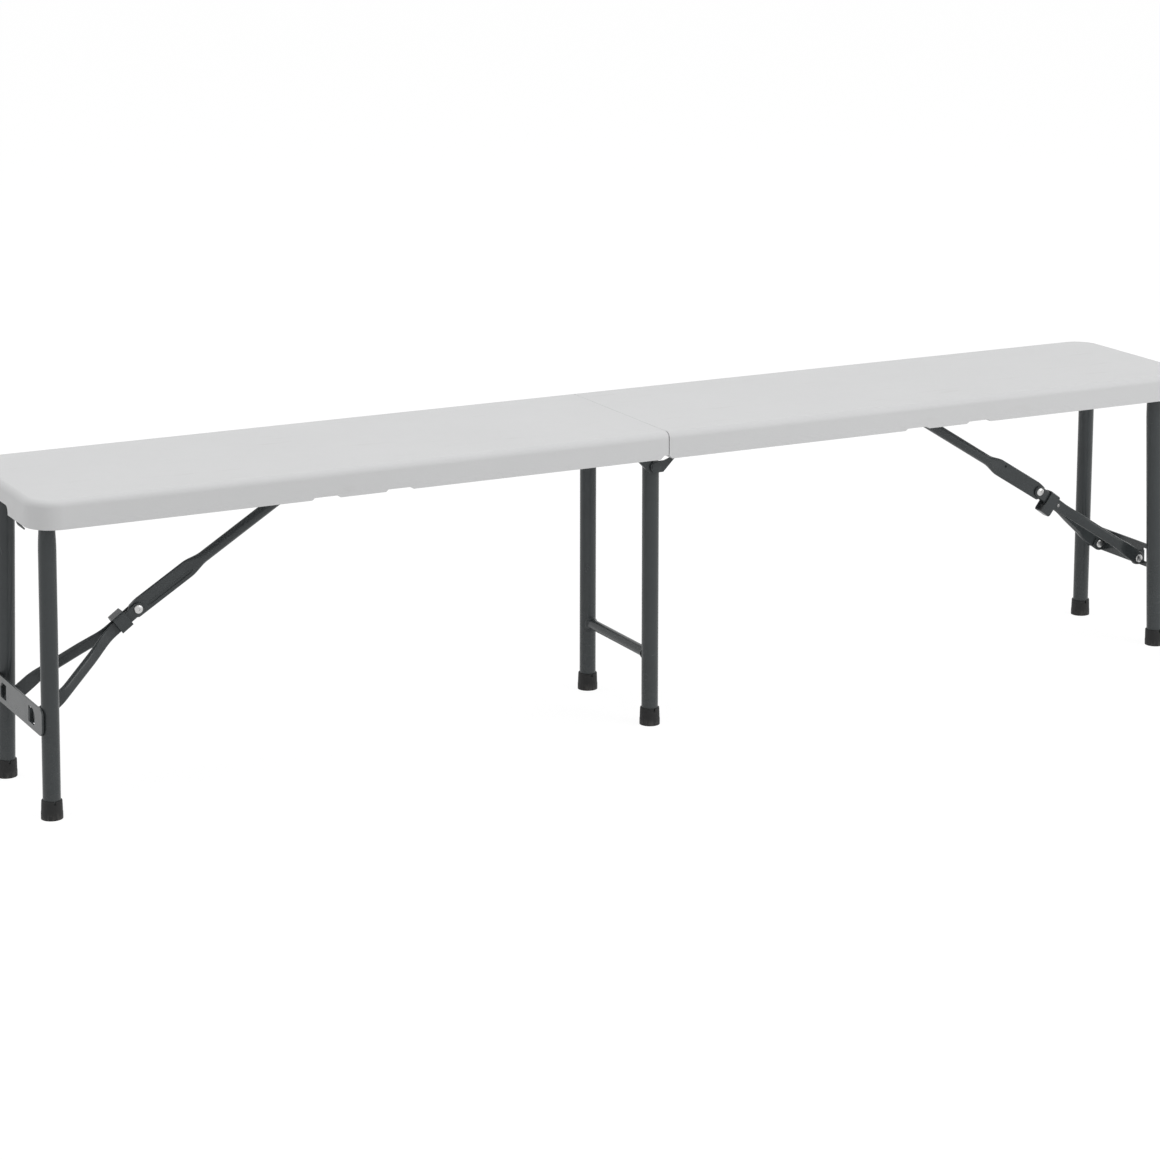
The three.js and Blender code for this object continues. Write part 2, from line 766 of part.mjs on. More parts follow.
// Upper brace: a tail that the lock clip holds, a flattened paddle, a tube and a flat eye. The
// paddle's top edge slopes where the clip rides up on it.
function upperBrace(side, places) {
  const frame = kneeFrame(places.knee, places.knee.clone().sub(places.pivot));
  const tail = roundedEnd(tailLength, tailLength - tailWidth / 2, tailWidth);
  const eyeCentre = -places.upper;
  const eye = roundedEnd(eyeCentre - braceEyeWidth / 2, eyeCentre, braceEyeWidth);
  const flat = { thickness: paddleThickness, power: flatPower };
  const eyeFlat = { thickness: braceEyeThickness, power: flatPower };
  const tube = { width: 2 * braceTubeRadius, thickness: 2 * braceTubeRadius, power: roundPower };
  const stations = [
    ...tail.map((s) => ({ ...flat, ...s })).sort((a, b) => b.x - a.x),
    { ...flat, x: shoulderStart, width: tailWidth },
    { ...flat, x: shoulderEnd, width: paddleWidth },
    { ...flat, x: -paddleLength, width: paddleWidth },
    { ...tube, x: -paddleLength - braceTaperLength },
    { ...tube, x: eyeCentre + braceEyeLength + braceTaperLength },
    { ...eyeFlat, x: eyeCentre + braceEyeLength, width: braceEyeWidth },
    ...eye.map((s) => ({ ...eyeFlat, ...s })).sort((a, b) => b.x - a.x),
  ];
  const cuts = [
    cylinderY(rivetRadius + pinClearance, -paddleWidth, paddleWidth),
    cylinderY(paddleHoleRadius, -paddleWidth, paddleWidth, -paddleHoleFromKnee),
    cylinderY(braceRodRadius + pinClearance, -paddleWidth, paddleWidth, eyeCentre),
  ];
  const slope = clipRise / clipTravel;
  const ramp = (x) => [x, stemWidth / 2 - gap + (clipFromKnee - x) * slope];
  const rampEnd = -paddleLength / 2;
  const clearance = prismY(
    [ramp(clipFromKnee), ramp(rampEnd), [rampEnd, paddleWidth], [clipFromKnee, paddleWidth]],
    -paddleWidth,
    paddleWidth,
  );
  const upperAngle = places.knee.clone().sub(places.pivot).angle();
  const lowerAngle = places.foot.clone().sub(places.knee).angle();
  const bend = upperAngle - lowerAngle;
  cuts.push(clearance.rotate([0, THREE.MathUtils.radToDeg(bend), 0]));
  frame.add(piece("upper_brace_" + side, frameSteel, bar(stations), cuts));
  return frame;
}

// Lock clip: a strip bent over the brace's tail and stems, open on its underside.
function lockClip(name) {
  const halfWidth = clipInner + clipWall;
  const outside = roundedRectangle(
    -halfWidth,
    -clipReachBelow - clipCornerRadius,
    halfWidth,
    clipTop + clipWall,
    clipCornerRadius,
  );
  const inside = roundedRectangle(
    -clipInner,
    -clipReachBelow - clipCornerRadius - overrun,
    clipInner,
    clipTop,
    clipCornerRadius - clipWall,
  );
  const below = block(
    [clipFromKnee - overrun, -halfWidth - overrun, -clipReachBelow - clipCornerRadius - overrun],
    [clipFromKnee + clipLength + overrun, halfWidth + overrun, -clipReachBelow],
  );
  return piece(
    name,
    frameSteel,
    prismX(outside, clipFromKnee, clipFromKnee + clipLength),
    [prismX(inside, clipFromKnee - overrun, clipFromKnee + clipLength + overrun), below],
  );
}

// Bracket under the deck for the upper brace: a flange with two ears, and the rod through them.
function braceBracket(side) {
  const halfApart = braceEarApart / 2;
  let body = block(
    [bracePivotOut - braceEarHalfWidth, -halfApart - braceEarThickness, flangeBottom],
    [bracePivotOut + braceEarHalfWidth, halfApart + braceEarThickness, flangeTop],
  );
  for (const way of [-1, 1]) {
    const near = way * halfApart;
    const far = way * (halfApart + braceEarThickness);
    const ear = roundedRectangle(
      bracePivotOut - braceEarHalfWidth,
      bracePivotHeight - braceEarDrop,
      bracePivotOut + braceEarHalfWidth,
      flangeTop,
      flangeThickness,
    );
    body = body.add(prismY(ear, Math.min(near, far), Math.max(near, far)));
  }
  const rodHalf = braceRodHalfLength;
  const reach = rodHalf + overrun;
  const hole = cylinderY(braceRodRadius + pinClearance, -reach, reach, bracePivotOut, bracePivotHeight);
  const bracket = piece("brace_bracket_" + side, frameSteel, body, [hole]);
  const rod = piece(
    "brace_rod_" + side,
    frameSteel,
    cylinderY(braceRodRadius, -rodHalf, rodHalf, bracePivotOut, bracePivotHeight),
  );
  return [bracket, rod];
}

// Centre hinge plate: a flange and a plate inside the skirt, with an ear that hangs down to the pin
// and leaves a dip above it, between the halves. Layer 0 lies against the centre leg, and layer 1
// outside it, so that the halves' ears pass.
function hingePlate(name, way, layer) {
  const near = centreTopOut + legRadius + (layer + 1) * gap + layer * earThickness;
  const far = near + earThickness;
  const inside = seamFace + seamWall + gap;
  const top = hingeHeight + earTopRise;
  const low = hingeHeight - earBottomDrop;
  const outline = new THREE.Shape();
  outline.moveTo(dipEnd, flangeTop);
  outline.lineTo(dipEnd, top + dipRise);
  outline.lineTo(dipHalfWidth, top);
  outline.lineTo(earEndChamfer - earEndReach, top);
  outline.lineTo(-earEndReach, top - earEndChamfer);
  outline.lineTo(-earEndReach, low + earEndChamfer);
  outline.lineTo(earEndChamfer - earEndReach, low);
  outline.lineTo(earBottomReach, low);
  outline.lineTo(earBottomReach + (skirtBottom - low), skirtBottom);
  outline.lineTo(inside + earRunLength, skirtBottom + earRunHeight);
  outline.lineTo(inside + earRunLength, flangeTop);
  outline.closePath();
  const plate = prismY(outline, near, far);
  const flange = block(
    [inside, near, flangeBottom],
    [inside + earRunLength, near + earThickness + earFlangeWidth, flangeTop],
  );
  const hole = cylinderY(hingePinRadius + pinClearance, near - overrun, far + overrun, 0, hingeHeight);
  const mesh = piece(name, frameSteel, plate.add(flange), [hole]);
  mesh.scale.y = way;
  return mesh;
}

// Centre hinge pin, through a centre leg's eye and the two hinge plates outside it.
function hingePin(name, way) {
  const from = centreTopOut - legRadius - gap;
  const to = centreTopOut + legRadius + 3 * gap + 2 * earThickness;
  const profile = [
    [0, from - hingePinHeadHeight],
    [hingePinHeadRadius - rivetCrown, from - hingePinHeadHeight],
    [hingePinHeadRadius, from - hingePinHeadHeight + rivetCrown],
    [hingePinHeadRadius, from],
    [hingePinRadius, from],
    [hingePinRadius, to],
    [hingePinHeadRadius, to],
    [hingePinHeadRadius, to + hingePinHeadHeight - rivetCrown],
    [hingePinHeadRadius - rivetCrown, to + hingePinHeadHeight],
    [0, to + hingePinHeadHeight],
  ];
  const mesh = piece(name, rivetSteel, turned(profile, smallSteps));
  mesh.rotation.x = (-way * Math.PI) / 2;
  return mesh;
}

// Centre leg frame: two legs on the hinge pins, their caps and a crossbar.
function centreLegFrame() {
  const frame = new THREE.Group();
  frame.position.z = hingeHeight;
  frame.updateMatrix();
  legPair(frame, frame.matrix, { leg: "centre_leg", foot: "centre_foot" }, {
    topOut: centreTopOut,
    footOut: centreFootOut,
    drop: hingeHeight,
    topRadius: legRadius,
    taperLength: 2 * legRadius,
    topReach: centreLegTopReach,
    pinRadius: hingePinRadius,
  });
  const share = crossbarHeight / hingeHeight;
  const legAtBar = centreFootOut + share * (centreTopOut - centreFootOut);
  const half = legAtBar - legRadius - gap;
  frame.add(
    piece(
      "centre_crossbar",
      frameSteel,
      cylinderY(crossbarRadius, -half, half, 0, crossbarHeight - hingeHeight, roundSteps),
    ),
  );
  frame.add(hingePin("hinge_pin_front", -1), hingePin("hinge_pin_back", 1));
  return frame;
}

const bench = new THREE.Group();
bench.name = "folding_bench";
const places = bracePlaces();
for (const [side, way, layer, seamRelief] of [["left", -1, 0, seamReliefWidth], ["right", 1, 1, 0]]) {
  const half = new THREE.Group();
  half.scale.x = way;
  half.add(seatHalf("seat_" + side, seamRelief));
  half.add(endLegFrame(side), lowerBrace(side, places), upperBrace(side, places));
  half.add(...braceBracket(side));
  for (const [end, facing] of [["front", -1], ["back", 1]]) {
    half.add(legBearing("leg_bearing_" + side + "_" + end, facing));
    half.add(hingePlate("hinge_plate_" + side + "_" + end, facing, layer));
  }
  bench.add(half);
}
bench.add(centreLegFrame());

export default bench;
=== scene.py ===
"""Folding bench with a moulded two-part seat and folding tubular legs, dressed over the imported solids.

X runs along the seat, Y across it and Z up, in metres, with the origin on the floor below the
middle. Sizes in the classes are in millimetres, and MM turns them into metres. Places less than SAME
millimetres apart count as one. A side is built with X pointing outward from the seam, and the left
side is its mirror image.
"""

import logging
import math
from dataclasses import dataclass, field
from enum import Enum
from typing import Callable, Iterable, Sequence

import bpy
from mathutils import Matrix, Vector

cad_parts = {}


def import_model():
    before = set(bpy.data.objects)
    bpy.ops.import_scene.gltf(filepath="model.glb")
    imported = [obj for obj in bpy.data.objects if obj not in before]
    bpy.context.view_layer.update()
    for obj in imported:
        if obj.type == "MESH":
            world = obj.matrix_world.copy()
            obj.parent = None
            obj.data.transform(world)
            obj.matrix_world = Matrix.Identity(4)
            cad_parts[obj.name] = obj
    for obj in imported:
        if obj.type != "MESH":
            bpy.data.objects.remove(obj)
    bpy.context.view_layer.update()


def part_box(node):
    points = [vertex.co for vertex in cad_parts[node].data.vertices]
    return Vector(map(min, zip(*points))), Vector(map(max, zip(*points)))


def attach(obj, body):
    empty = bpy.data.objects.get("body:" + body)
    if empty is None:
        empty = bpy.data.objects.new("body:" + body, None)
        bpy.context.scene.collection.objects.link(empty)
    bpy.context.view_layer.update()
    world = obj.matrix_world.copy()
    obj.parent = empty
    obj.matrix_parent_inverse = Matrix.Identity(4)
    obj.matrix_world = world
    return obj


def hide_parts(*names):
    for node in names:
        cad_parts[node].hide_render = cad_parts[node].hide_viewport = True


log = logging.getLogger("folding_bench")

MM = 0.001
SAME = 0.03
Point = tuple[float, float, float]
Outline = list[tuple[float, float]]


class Side(Enum):
    """The two ends of the bench, and the way that X points outward on each."""

    LEFT = -1
    RIGHT = 1

    @property
    def tag(self) -> str:
        """The side's word in node names."""
        return self.name.lower()


class Face(Enum):
    """The two long sides of the bench, and the way that Y points outward on each."""

    FRONT = -1
    BACK = 1

    @property
    def tag(self) -> str:
        """The face's word in node names."""
        return self.name.lower()


class Slot(Enum):
    """The record's material slots."""

    SEAT = "seat_plastic"
    STEEL = "frame_steel"
    FOOT = "foot_plastic"
    RIVET = "rivet_steel"


# Shader building


class Signal:
    """An output of a shader node that takes part in Python expressions."""

    def __init__(self, tree: "ShaderTree", socket: bpy.types.NodeSocket) -> None:
        """Wraps one output socket of a tree, which new Math nodes go into."""
        self.tree = tree
        self.socket = socket

    def _math(self, operation: str, first: "Signal | float", second: "Signal | float") -> "Signal":
        """Joins two values with a Math node."""
        return self.tree.node("ShaderNodeMath", {"operation": operation}, {0: first, 1: second})

    def __add__(self, other: "Signal | float") -> "Signal":
        """The sum of two values."""
        return self._math("ADD", self, other)

    def __radd__(self, other: float) -> "Signal":
        """The sum, number first."""
        return self._math("ADD", other, self)

    def __sub__(self, other: "Signal | float") -> "Signal":
        """The difference of two values."""
        return self._math("SUBTRACT", self, other)

    def __rsub__(self, other: float) -> "Signal":
        """The difference, number first."""
        return self._math("SUBTRACT", other, self)

    def __mul__(self, other: "Signal | float") -> "Signal":
        """The product of two values."""
        return self._math("MULTIPLY", self, other)

    def __rmul__(self, other: float) -> "Signal":
        """The product, number first."""
        return self._math("MULTIPLY", other, self)

    def wave(self) -> "Signal":
        """The cosine of the value."""
        return self._math("COSINE", self, 0.0)

    def above(self, low: float, high: float) -> "Signal":
        """How far the value has risen from low to high, kept between 0 and 1."""
        inputs = {0: self, 1: low, 2: high, 3: 0.0, 4: 1.0}
        return self.tree.node("ShaderNodeMapRange", {"clamp": True}, inputs)


Value = Signal | float | Sequence[float]


class ShaderTree:
    """The nodes of a material or a world, built by type, settings and inputs."""

    def __init__(self, name: str, world: bool = False) -> None:
        """Starts an empty material or world.

        Args:
            name: Its name.
            world: Whether it is a world.
        """
        self.material = (bpy.data.worlds if world else bpy.data.materials).new(name)
        self.material.use_nodes = True
        self.nodes = self.material.node_tree.nodes
        self.nodes.clear()

    def node(self, kind: str, settings: dict, inputs: dict, output: int | str = 0) -> Signal:
        """Adds one node.

        Args:
            kind: The node's type.
            settings: Its properties, set before its inputs.
            inputs: Values or signals by socket name or number.
            output: The output to return.

        Returns:
            The chosen output as a signal.
        """
        made = self.nodes.new(kind)
        for key, value in settings.items():
            setattr(made, key, value)
        for key, value in inputs.items():
            socket = made.inputs[key]
            if isinstance(value, Signal):
                self.material.node_tree.links.new(value.socket, socket)
            else:
                socket.default_value = value
        return Signal(self, made.outputs[output])

    def place(self, scale: Sequence[float] = (1.0, 1.0, 1.0)) -> Signal:
        """Object coordinates, stretched by a scale for each axis."""
        where = self.node("ShaderNodeTexCoord", {}, {}, "Object")
        return self.node("ShaderNodeMapping", {}, {"Vector": where, "Scale": scale})

    def noise(
        self, scale: float, detail: float = 2.0, stretch: Sequence[float] = (1.0, 1.0, 1.0)
    ) -> Signal:
        """Noise of about 0 to 1 in object space, its scale in features per metre."""
        inputs = {"Vector": self.place(stretch), "Scale": scale, "Detail": detail, "Roughness": 0.55}
        return self.node("ShaderNodeTexNoise", {}, inputs, 0)

    def axis(self, name: str) -> Signal:
        """One object coordinate, named X, Y or Z."""
        return self.node("ShaderNodeSeparateXYZ", {}, {0: self.place()}, name)

    def facing(self, name: str) -> Signal:
        """One part of the surface's normal, named X, Y or Z."""
        normal = self.node("ShaderNodeNewGeometry", {}, {}, "Normal")
        return self.node("ShaderNodeSeparateXYZ", {}, {0: normal}, name)

    def mix(self, share: Signal, first: Value, second: Value) -> Signal:
        """Two colours mixed, the first alone at share 0 and the second at share 1."""
        inputs = {"Factor": share, 6: first, 7: second}
        return self.node("ShaderNodeMix", {"data_type": "RGBA"}, inputs, 2)

    def bump(
        self, height: Signal, distance: float, strength: float, under: Signal | None = None
    ) -> Signal:
        """A bump from a height.

        Args:
            height: The height, about 0 to 1.
            distance: What a height of 1 stands for, in metres.
            strength: The share of the bump that shows.
            under: A bump that this one adds to.

        Returns:
            The bent normal.
        """
        inputs = {"Height": height, "Distance": distance, "Strength": strength}
        if under is not None:
            inputs["Normal"] = under
        return self.node("ShaderNodeBump", {}, inputs)

    def surface(self, inputs: dict) -> bpy.types.Material:
        """Closes the tree with the principled shader.

        Args:
            inputs: Values or signals by the shader's socket names.

        Returns:
            The finished material.
        """
        shader = self.node("ShaderNodeBsdfPrincipled", {}, inputs)
        self.node_out(shader)
        return self.material

    def node_out(self, shader: Signal, kind: str = "ShaderNodeOutputMaterial") -> None:
        """Links a shader to an output of a kind."""
        out = self.nodes.new(kind)
        self.material.node_tree.links.new(shader.socket, out.inputs["Surface"])


Colour = tuple[float, float, float, float]


def grey(value: float, tint: Sequence[float] = (1.0, 1.0, 1.0)) -> Colour:
    """A grey of a brightness, with a tint factor for each channel and full alpha."""
    red, green, blue = (value * t for t in tint)
    return (red, green, blue, 1.0)


@dataclass(frozen=True)
class MouldedSeat:
    """Light grey blow-moulded plastic with a fine grain and faint scuffs from use."""

    value: float = 0.635
    tint: Point = (0.995, 1.0, 1.005)
    grain_pitch: float = 1.1
    dimple_pitch: float = 36.0

    def material(self) -> bpy.types.Material:
        """Builds the finish."""
        tree = ShaderTree("moulded_seat")
        cloud = tree.noise(5.0, 3.0)
        scuff = tree.noise(26.0, 5.0, (0.35, 2.6, 1.0)).above(0.63, 0.74)
        speck = tree.noise(420.0, 1.0).above(0.70, 0.78)
        below = (-1.0 * tree.facing("Z")).above(0.4, 0.9)
        colour = tree.mix(cloud, grey(self.value * 0.965, self.tint), grey(self.value * 1.03, self.tint))
        colour = tree.mix(scuff * 0.35, colour, grey(self.value * 0.9, (1.0, 0.995, 0.98)))
        colour = tree.mix(speck * 0.25, colour, grey(self.value * 0.86, self.tint))
        grain = tree.noise(1000.0 / self.grain_pitch, 2.0)
        pitch = 2.0 * math.pi * 1000.0 / self.dimple_pitch
        lattice = (tree.axis("X") * pitch).wave() * (tree.axis("Y") * pitch).wave()
        dimples = lattice.above(0.55, 0.95) * below * tree.axis("Z").above(0.4195, 0.4215)
        pressed = tree.bump(1.0 - dimples, 0.0018, 0.8)
        waviness = tree.bump(tree.noise(9.0, 1.0), 0.0012, 0.35, pressed)
        rough = 0.46 + 0.10 * tree.noise(60.0, 3.0) + 0.10 * scuff
        inputs = {
            "Base Color": colour,
            "Roughness": rough,
            "Normal": tree.bump(grain, 0.00022, 0.42, waviness),
            "Specular IOR Level": 0.33,
        }
        return tree.surface(inputs)


@dataclass(frozen=True)
class PowderCoat:
    """Dark grey powder coat on steel, with orange peel and lightly rubbed places."""

    value: float = 0.052
    tint: Point = (0.92, 1.03, 1.07)

    def material(self) -> bpy.types.Material:
        """Builds the finish."""
        tree = ShaderTree("powder_coat")
        cloud = tree.noise(14.0, 3.0)
        rub = tree.noise(38.0, 6.0, (1.0, 1.0, 0.45)).above(0.64, 0.78)
        colour = tree.mix(cloud, grey(self.value * 0.85, self.tint), grey(self.value * 1.18, self.tint))
        colour = tree.mix(rub * 0.3, colour, grey(self.value * 1.6, (1.0, 1.0, 1.0)))
        dust = (0.16 - tree.axis("Z")).above(0.0, 0.16) * tree.noise(70.0, 4.0).above(0.45, 0.7)
        colour = tree.mix(dust * 0.07, colour, grey(0.17, (1.05, 1.0, 0.92)))
        peel = tree.noise(620.0, 2.0)
        rough = 0.20 + 0.10 * tree.noise(45.0, 3.0) + 0.14 * rub + 0.12 * dust
        inputs = {
            "Base Color": colour,
            "Roughness": rough,
            "Normal": tree.bump(peel, 0.00008, 0.22),
            "Specular IOR Level": 0.3,
        }
        return tree.surface(inputs)


@dataclass(frozen=True)
class CapPlastic:
    """Near-black foot plastic, dusty and scuffed towards the sole."""

    value: float = 0.012

    def material(self) -> bpy.types.Material:
        """Builds the finish."""
        tree = ShaderTree("cap_plastic")
        cloud = tree.noise(80.0, 3.0)
        low = (0.011 - tree.axis("Z")).above(0.0, 0.011)
        scuff = low * tree.noise(260.0, 5.0, (1.0, 1.0, 0.3)).above(0.42, 0.66)
        colour = tree.mix(cloud, grey(self.value * 0.8), grey(self.value * 1.25, (1.0, 1.02, 1.04)))
        colour = tree.mix(scuff * 0.55, colour, grey(0.13, (1.04, 1.0, 0.94)))
        rough = 0.55 + 0.16 * cloud + 0.15 * scuff
        inputs = {
            "Base Color": colour,
            "Roughness": rough,
            "Normal": tree.bump(tree.noise(1100.0, 2.0), 0.00015, 0.4),
            "Specular IOR Level": 0.35,
        }
        return tree.surface(inputs)


@dataclass(frozen=True)
class ZincSteel:
    """Bare zinc-plated steel, as on rivets, screws and pins."""

    name: str = "zinc_steel"
    value: float = 0.60
    rough: float = 0.27

    def material(self) -> bpy.types.Material:
        """Builds the finish."""
        tree = ShaderTree(self.name)
        bloom = tree.noise(160.0, 4.0)
        colour = tree.mix(bloom, grey(self.value * 0.82, (1.0, 1.0, 0.98)), grey(self.value * 1.1))
        stain = tree.noise(420.0, 3.0).above(0.62, 0.75)
        colour = tree.mix(stain * 0.4, colour, grey(self.value * 0.5, (1.0, 0.97, 0.92)))
        inputs = {
            "Base Color": colour,
            "Metallic": 1.0,
            "Roughness": self.rough + 0.16 * bloom + 0.1 * stain,
            "Normal": tree.bump(tree.noise(2200.0, 2.0), 0.00004, 0.5),
        }
        return tree.surface(inputs)


@dataclass(frozen=True)
class Finishes:
    """The finished materials that the sub-assemblies share."""

    seat: bpy.types.Material
    steel: bpy.types.Material
    cap: bpy.types.Material
    rivet: bpy.types.Material
    pin: bpy.types.Material

    @classmethod
    def made(cls) -> "Finishes":
        """Builds every finish once."""
        return cls(
            seat=MouldedSeat().material(),
            steel=PowderCoat().material(),
            cap=CapPlastic().material(),
            rivet=ZincSteel().material(),
            pin=ZincSteel("dull_zinc", 0.30, 0.38).material(),
        )


# Modelling


def calm() -> None:
    """Leaves edit mode and deselects everything."""
    if bpy.context.object is not None and bpy.context.object.mode != "OBJECT":
        bpy.ops.object.mode_set(mode="OBJECT")
    bpy.ops.object.select_all(action="DESELECT")


class Workpiece:
    """One mesh object on the bench, shaped with Blender's own modelling operators."""

    def __init__(self, name: str) -> None:
        """Takes over the primitive that was just added.

        Args:
            name: The piece's name.
        """
        self.object = bpy.context.object
        self.object.name = name
        self.object.data.name = name

    @classmethod
    def block(cls, name: str, low: Sequence[float], high: Sequence[float]) -> "Workpiece":
        """A box between two corners in millimetres.

        Args:
            name: The piece's name.
            low: Its lowest corner.
            high: Its highest corner.

        Returns:
            The new piece, with its place in its mesh.
        """
        calm()
        middle = [(a + b) / 2 * MM for a, b in zip(low, high)]
        size = [(b - a) * MM for a, b in zip(low, high)]
        bpy.ops.mesh.primitive_cube_add(size=1, location=middle, scale=size)
        made = cls(name)
        made.settle()
        return made

    @classmethod
    def line(cls, name: str, points: Sequence[Sequence[float]]) -> "Workpiece":
        """Edges drawn from point to point, left in edit mode with everything selected.

        Args:
            name: The piece's name.
            points: The points in millimetres.

        Returns:
            The new piece, still only a line.
        """
        calm()
        bpy.ops.mesh.primitive_plane_add(size=1)
        made = cls(name)
        bpy.ops.object.mode_set(mode="EDIT")
        bpy.ops.mesh.select_mode(type="VERT")
        bpy.ops.mesh.select_all(action="SELECT")
        bpy.ops.mesh.merge(type="CENTER")
        bpy.ops.transform.translate(value=[c * MM for c in points[0]])
        for before, after in zip(points, points[1:]):
            step = [(b - a) * MM for a, b in zip(before, after)]
            bpy.ops.mesh.extrude_vertices_move(TRANSFORM_OT_translate={"value": step})
        bpy.ops.mesh.select_all(action="SELECT")
        return made

    @classmethod
    def prism(cls, name: str, outline: Sequence[Sequence[float]], depth: Sequence[float]) -> "Workpiece":
        """A flat outline, drawn, filled and extruded.

        Args:
            name: The piece's name.
            outline: Its points in millimetres.
            depth: The vector that it is extruded along, in millimetres.

        Returns:
            The new closed piece.
        """
        made = cls.line(name, outline)
        bpy.ops.mesh.edge_face_add()
        made.extrude(depth)
        made.turn_out()
        return made

    @classmethod
    def turned(cls, name: str, profile: Sequence[tuple[float, float]], steps: int = 48) -> "Workpiece":
        """A profile of radius and height in millimetres, spun about Z.

        Args:
            name: The piece's name.
            profile: Its points, the ends on the axis.
            steps: Facets round the axis.

        Returns:
            The new closed piece.
        """
        made = cls.line(name, [(radius, 0, height) for radius, height in profile])
        bpy.ops.mesh.spin(steps=steps, angle=2 * math.pi, center=(0, 0, 0), axis=(0, 0, 1))
        bpy.ops.mesh.select_all(action="SELECT")
        bpy.ops.mesh.remove_doubles(threshold=0.01 * MM)
        bpy.ops.object.mode_set(mode="OBJECT")
        made.turn_out()
        return made

    @classmethod
    def disc(
        cls, name: str, radius: float, place: Sequence[float], across: str, steps: int
    ) -> "Workpiece":
        """A filled disc to draw out into a bar or a wire.

        Args:
            name: The piece's name.
            radius: Its radius in millimetres.
            place: Its centre in millimetres.
            across: The axis that it stands square to, X or Z.
            steps: Its corners, turned so that none lies on an axis.

        Returns:
            The new piece, still flat.
        """
        calm()
        turn = (0, math.pi / 2 if across == "X" else 0, 0)
        centre = [c * MM for c in place]
        bpy.ops.mesh.primitive_circle_add(
            vertices=steps, radius=radius * MM, fill_type="NGON", location=centre, rotation=turn
        )
        made = cls(name)
        made.settle()
        made.pick_points(lambda p: True)
        bpy.ops.transform.rotate(value=math.pi / steps, orient_axis=across, center_override=centre)
        bpy.ops.object.mode_set(mode="OBJECT")
        return made

    @classmethod
    def bar(cls, name: str, stations: Sequence["Section"], steps: int = 32) -> "Workpiece":
        """A bar along X, drawn out of a disc from station to station.

        Each ring is a circle as thick as the bar, its upper and lower halves moved apart to its width,
        which is the section of a tube that a press has flattened.

        Args:
            name: The piece's name.
            stations: Its sections in order.
            steps: Corners of a ring.

        Returns:
            The new closed piece.
        """
        first = stations[0]
        made = cls.disc(name, first.thickness / 2, first.centre, "X", steps)
        made._press(first, Section(first.x, first.thickness, first.thickness, first.y, first.z))
        for before, after in zip(stations, stations[1:]):
            made.pick_points(lambda p: abs(p.x - before.x) < SAME)
            made.extrude([b - a for a, b in zip(before.centre, after.centre)])
            made._press(after, before)
        made.turn_out()
        return made

    def _press(self, section: "Section", like: "Section") -> None:
        """Gives the ring at a section's place its size, where it still has that of another section."""
        grow = section.thickness / like.thickness
        for way in (-1, 1):
            self.pick_points(lambda p: abs(p.x - section.x) < SAME and way * (p.z - section.z) > 0)
            centre = (section.x * MM, section.y * MM, (section.z + way * like.spread) * MM)
            bpy.ops.transform.resize(value=(1, grow, grow), center_override=centre)
            bpy.ops.transform.translate(value=(0, 0, way * (section.spread - like.spread) * MM))
            bpy.ops.object.mode_set(mode="OBJECT")

    def _only(self) -> None:
        """Makes this piece the one that is selected and active."""
        calm()
        self.object.select_set(True)
        bpy.context.view_layer.objects.active = self.object

    def settle(self) -> None:
        """Moves the object's place into its mesh."""
        self._only()
        bpy.ops.object.transform_apply(location=True, rotation=True, scale=True)

    def turn_out(self) -> None:
        """Turns all faces outward."""
        self._only()
        bpy.ops.object.mode_set(mode="EDIT")
        bpy.ops.mesh.select_all(action="SELECT")
        bpy.ops.mesh.normals_make_consistent(inside=False)
        bpy.ops.object.mode_set(mode="OBJECT")

    def placed(self, matrix: Matrix) -> "Workpiece":
        """Puts the piece where a matrix says, its place kept in its mesh.

        Args:
            matrix: From the piece's frame to the bench's.

        Returns:
            The piece itself.
        """
        self.object.matrix_world = matrix
        self.settle()
        if matrix.determinant() < 0:
            self.turn_out()
        return self

    def pick_edges(self, chosen: Callable[[Vector, Vector], bool]) -> "Workpiece":
        """Selects the edges whose two ends, in millimetres, a test accepts, and opens edit mode."""
        return self._pick("EDGE", chosen)

    def pick_faces(self, chosen: Callable[[Vector, Vector], bool]) -> "Workpiece":
        """Selects the faces whose centre and normal a test accepts, and opens edit mode."""
        return self._pick("FACE", chosen)

    def pick_points(self, chosen: Callable[[Vector], bool]) -> "Workpiece":
        """Selects the corners whose place in millimetres a test accepts, and opens edit mode."""
        return self._pick("VERT", chosen)

    def _pick(self, kind: str, chosen: Callable[..., bool]) -> "Workpiece":
        """Selects corners, edges or faces by a test on their places in millimetres."""
        self._only()
        bpy.ops.object.mode_set(mode="EDIT")
        bpy.ops.mesh.select_mode(type=kind)
        bpy.ops.mesh.select_all(action="DESELECT")
        bpy.ops.object.mode_set(mode="OBJECT")
        mesh = self.object.data
        if kind == "EDGE":
            for edge in mesh.edges:
                a, b = (mesh.vertices[i].co * 1000 for i in edge.vertices)
                edge.select = chosen(a, b)
        elif kind == "VERT":
            for vertex in mesh.vertices:
                vertex.select = chosen(vertex.co * 1000)
        else:
            for face in mesh.polygons:
                face.select = chosen(face.center * 1000, face.normal)
        bpy.ops.object.mode_set(mode="EDIT")
        return self

    def bevel(self, width: float, segments: int) -> "Workpiece":
        """Rounds the selected edges by a width in millimetres."""
        bpy.ops.mesh.bevel(offset=width * MM, segments=segments, profile=0.5, affect="EDGES")
        bpy.ops.object.mode_set(mode="OBJECT")
        return self

    def inset(self, width: float) -> "Workpiece":
        """Insets the selected faces by a width in millimetres, still selected."""
        bpy.ops.mesh.inset(thickness=width * MM, depth=0)
        return self

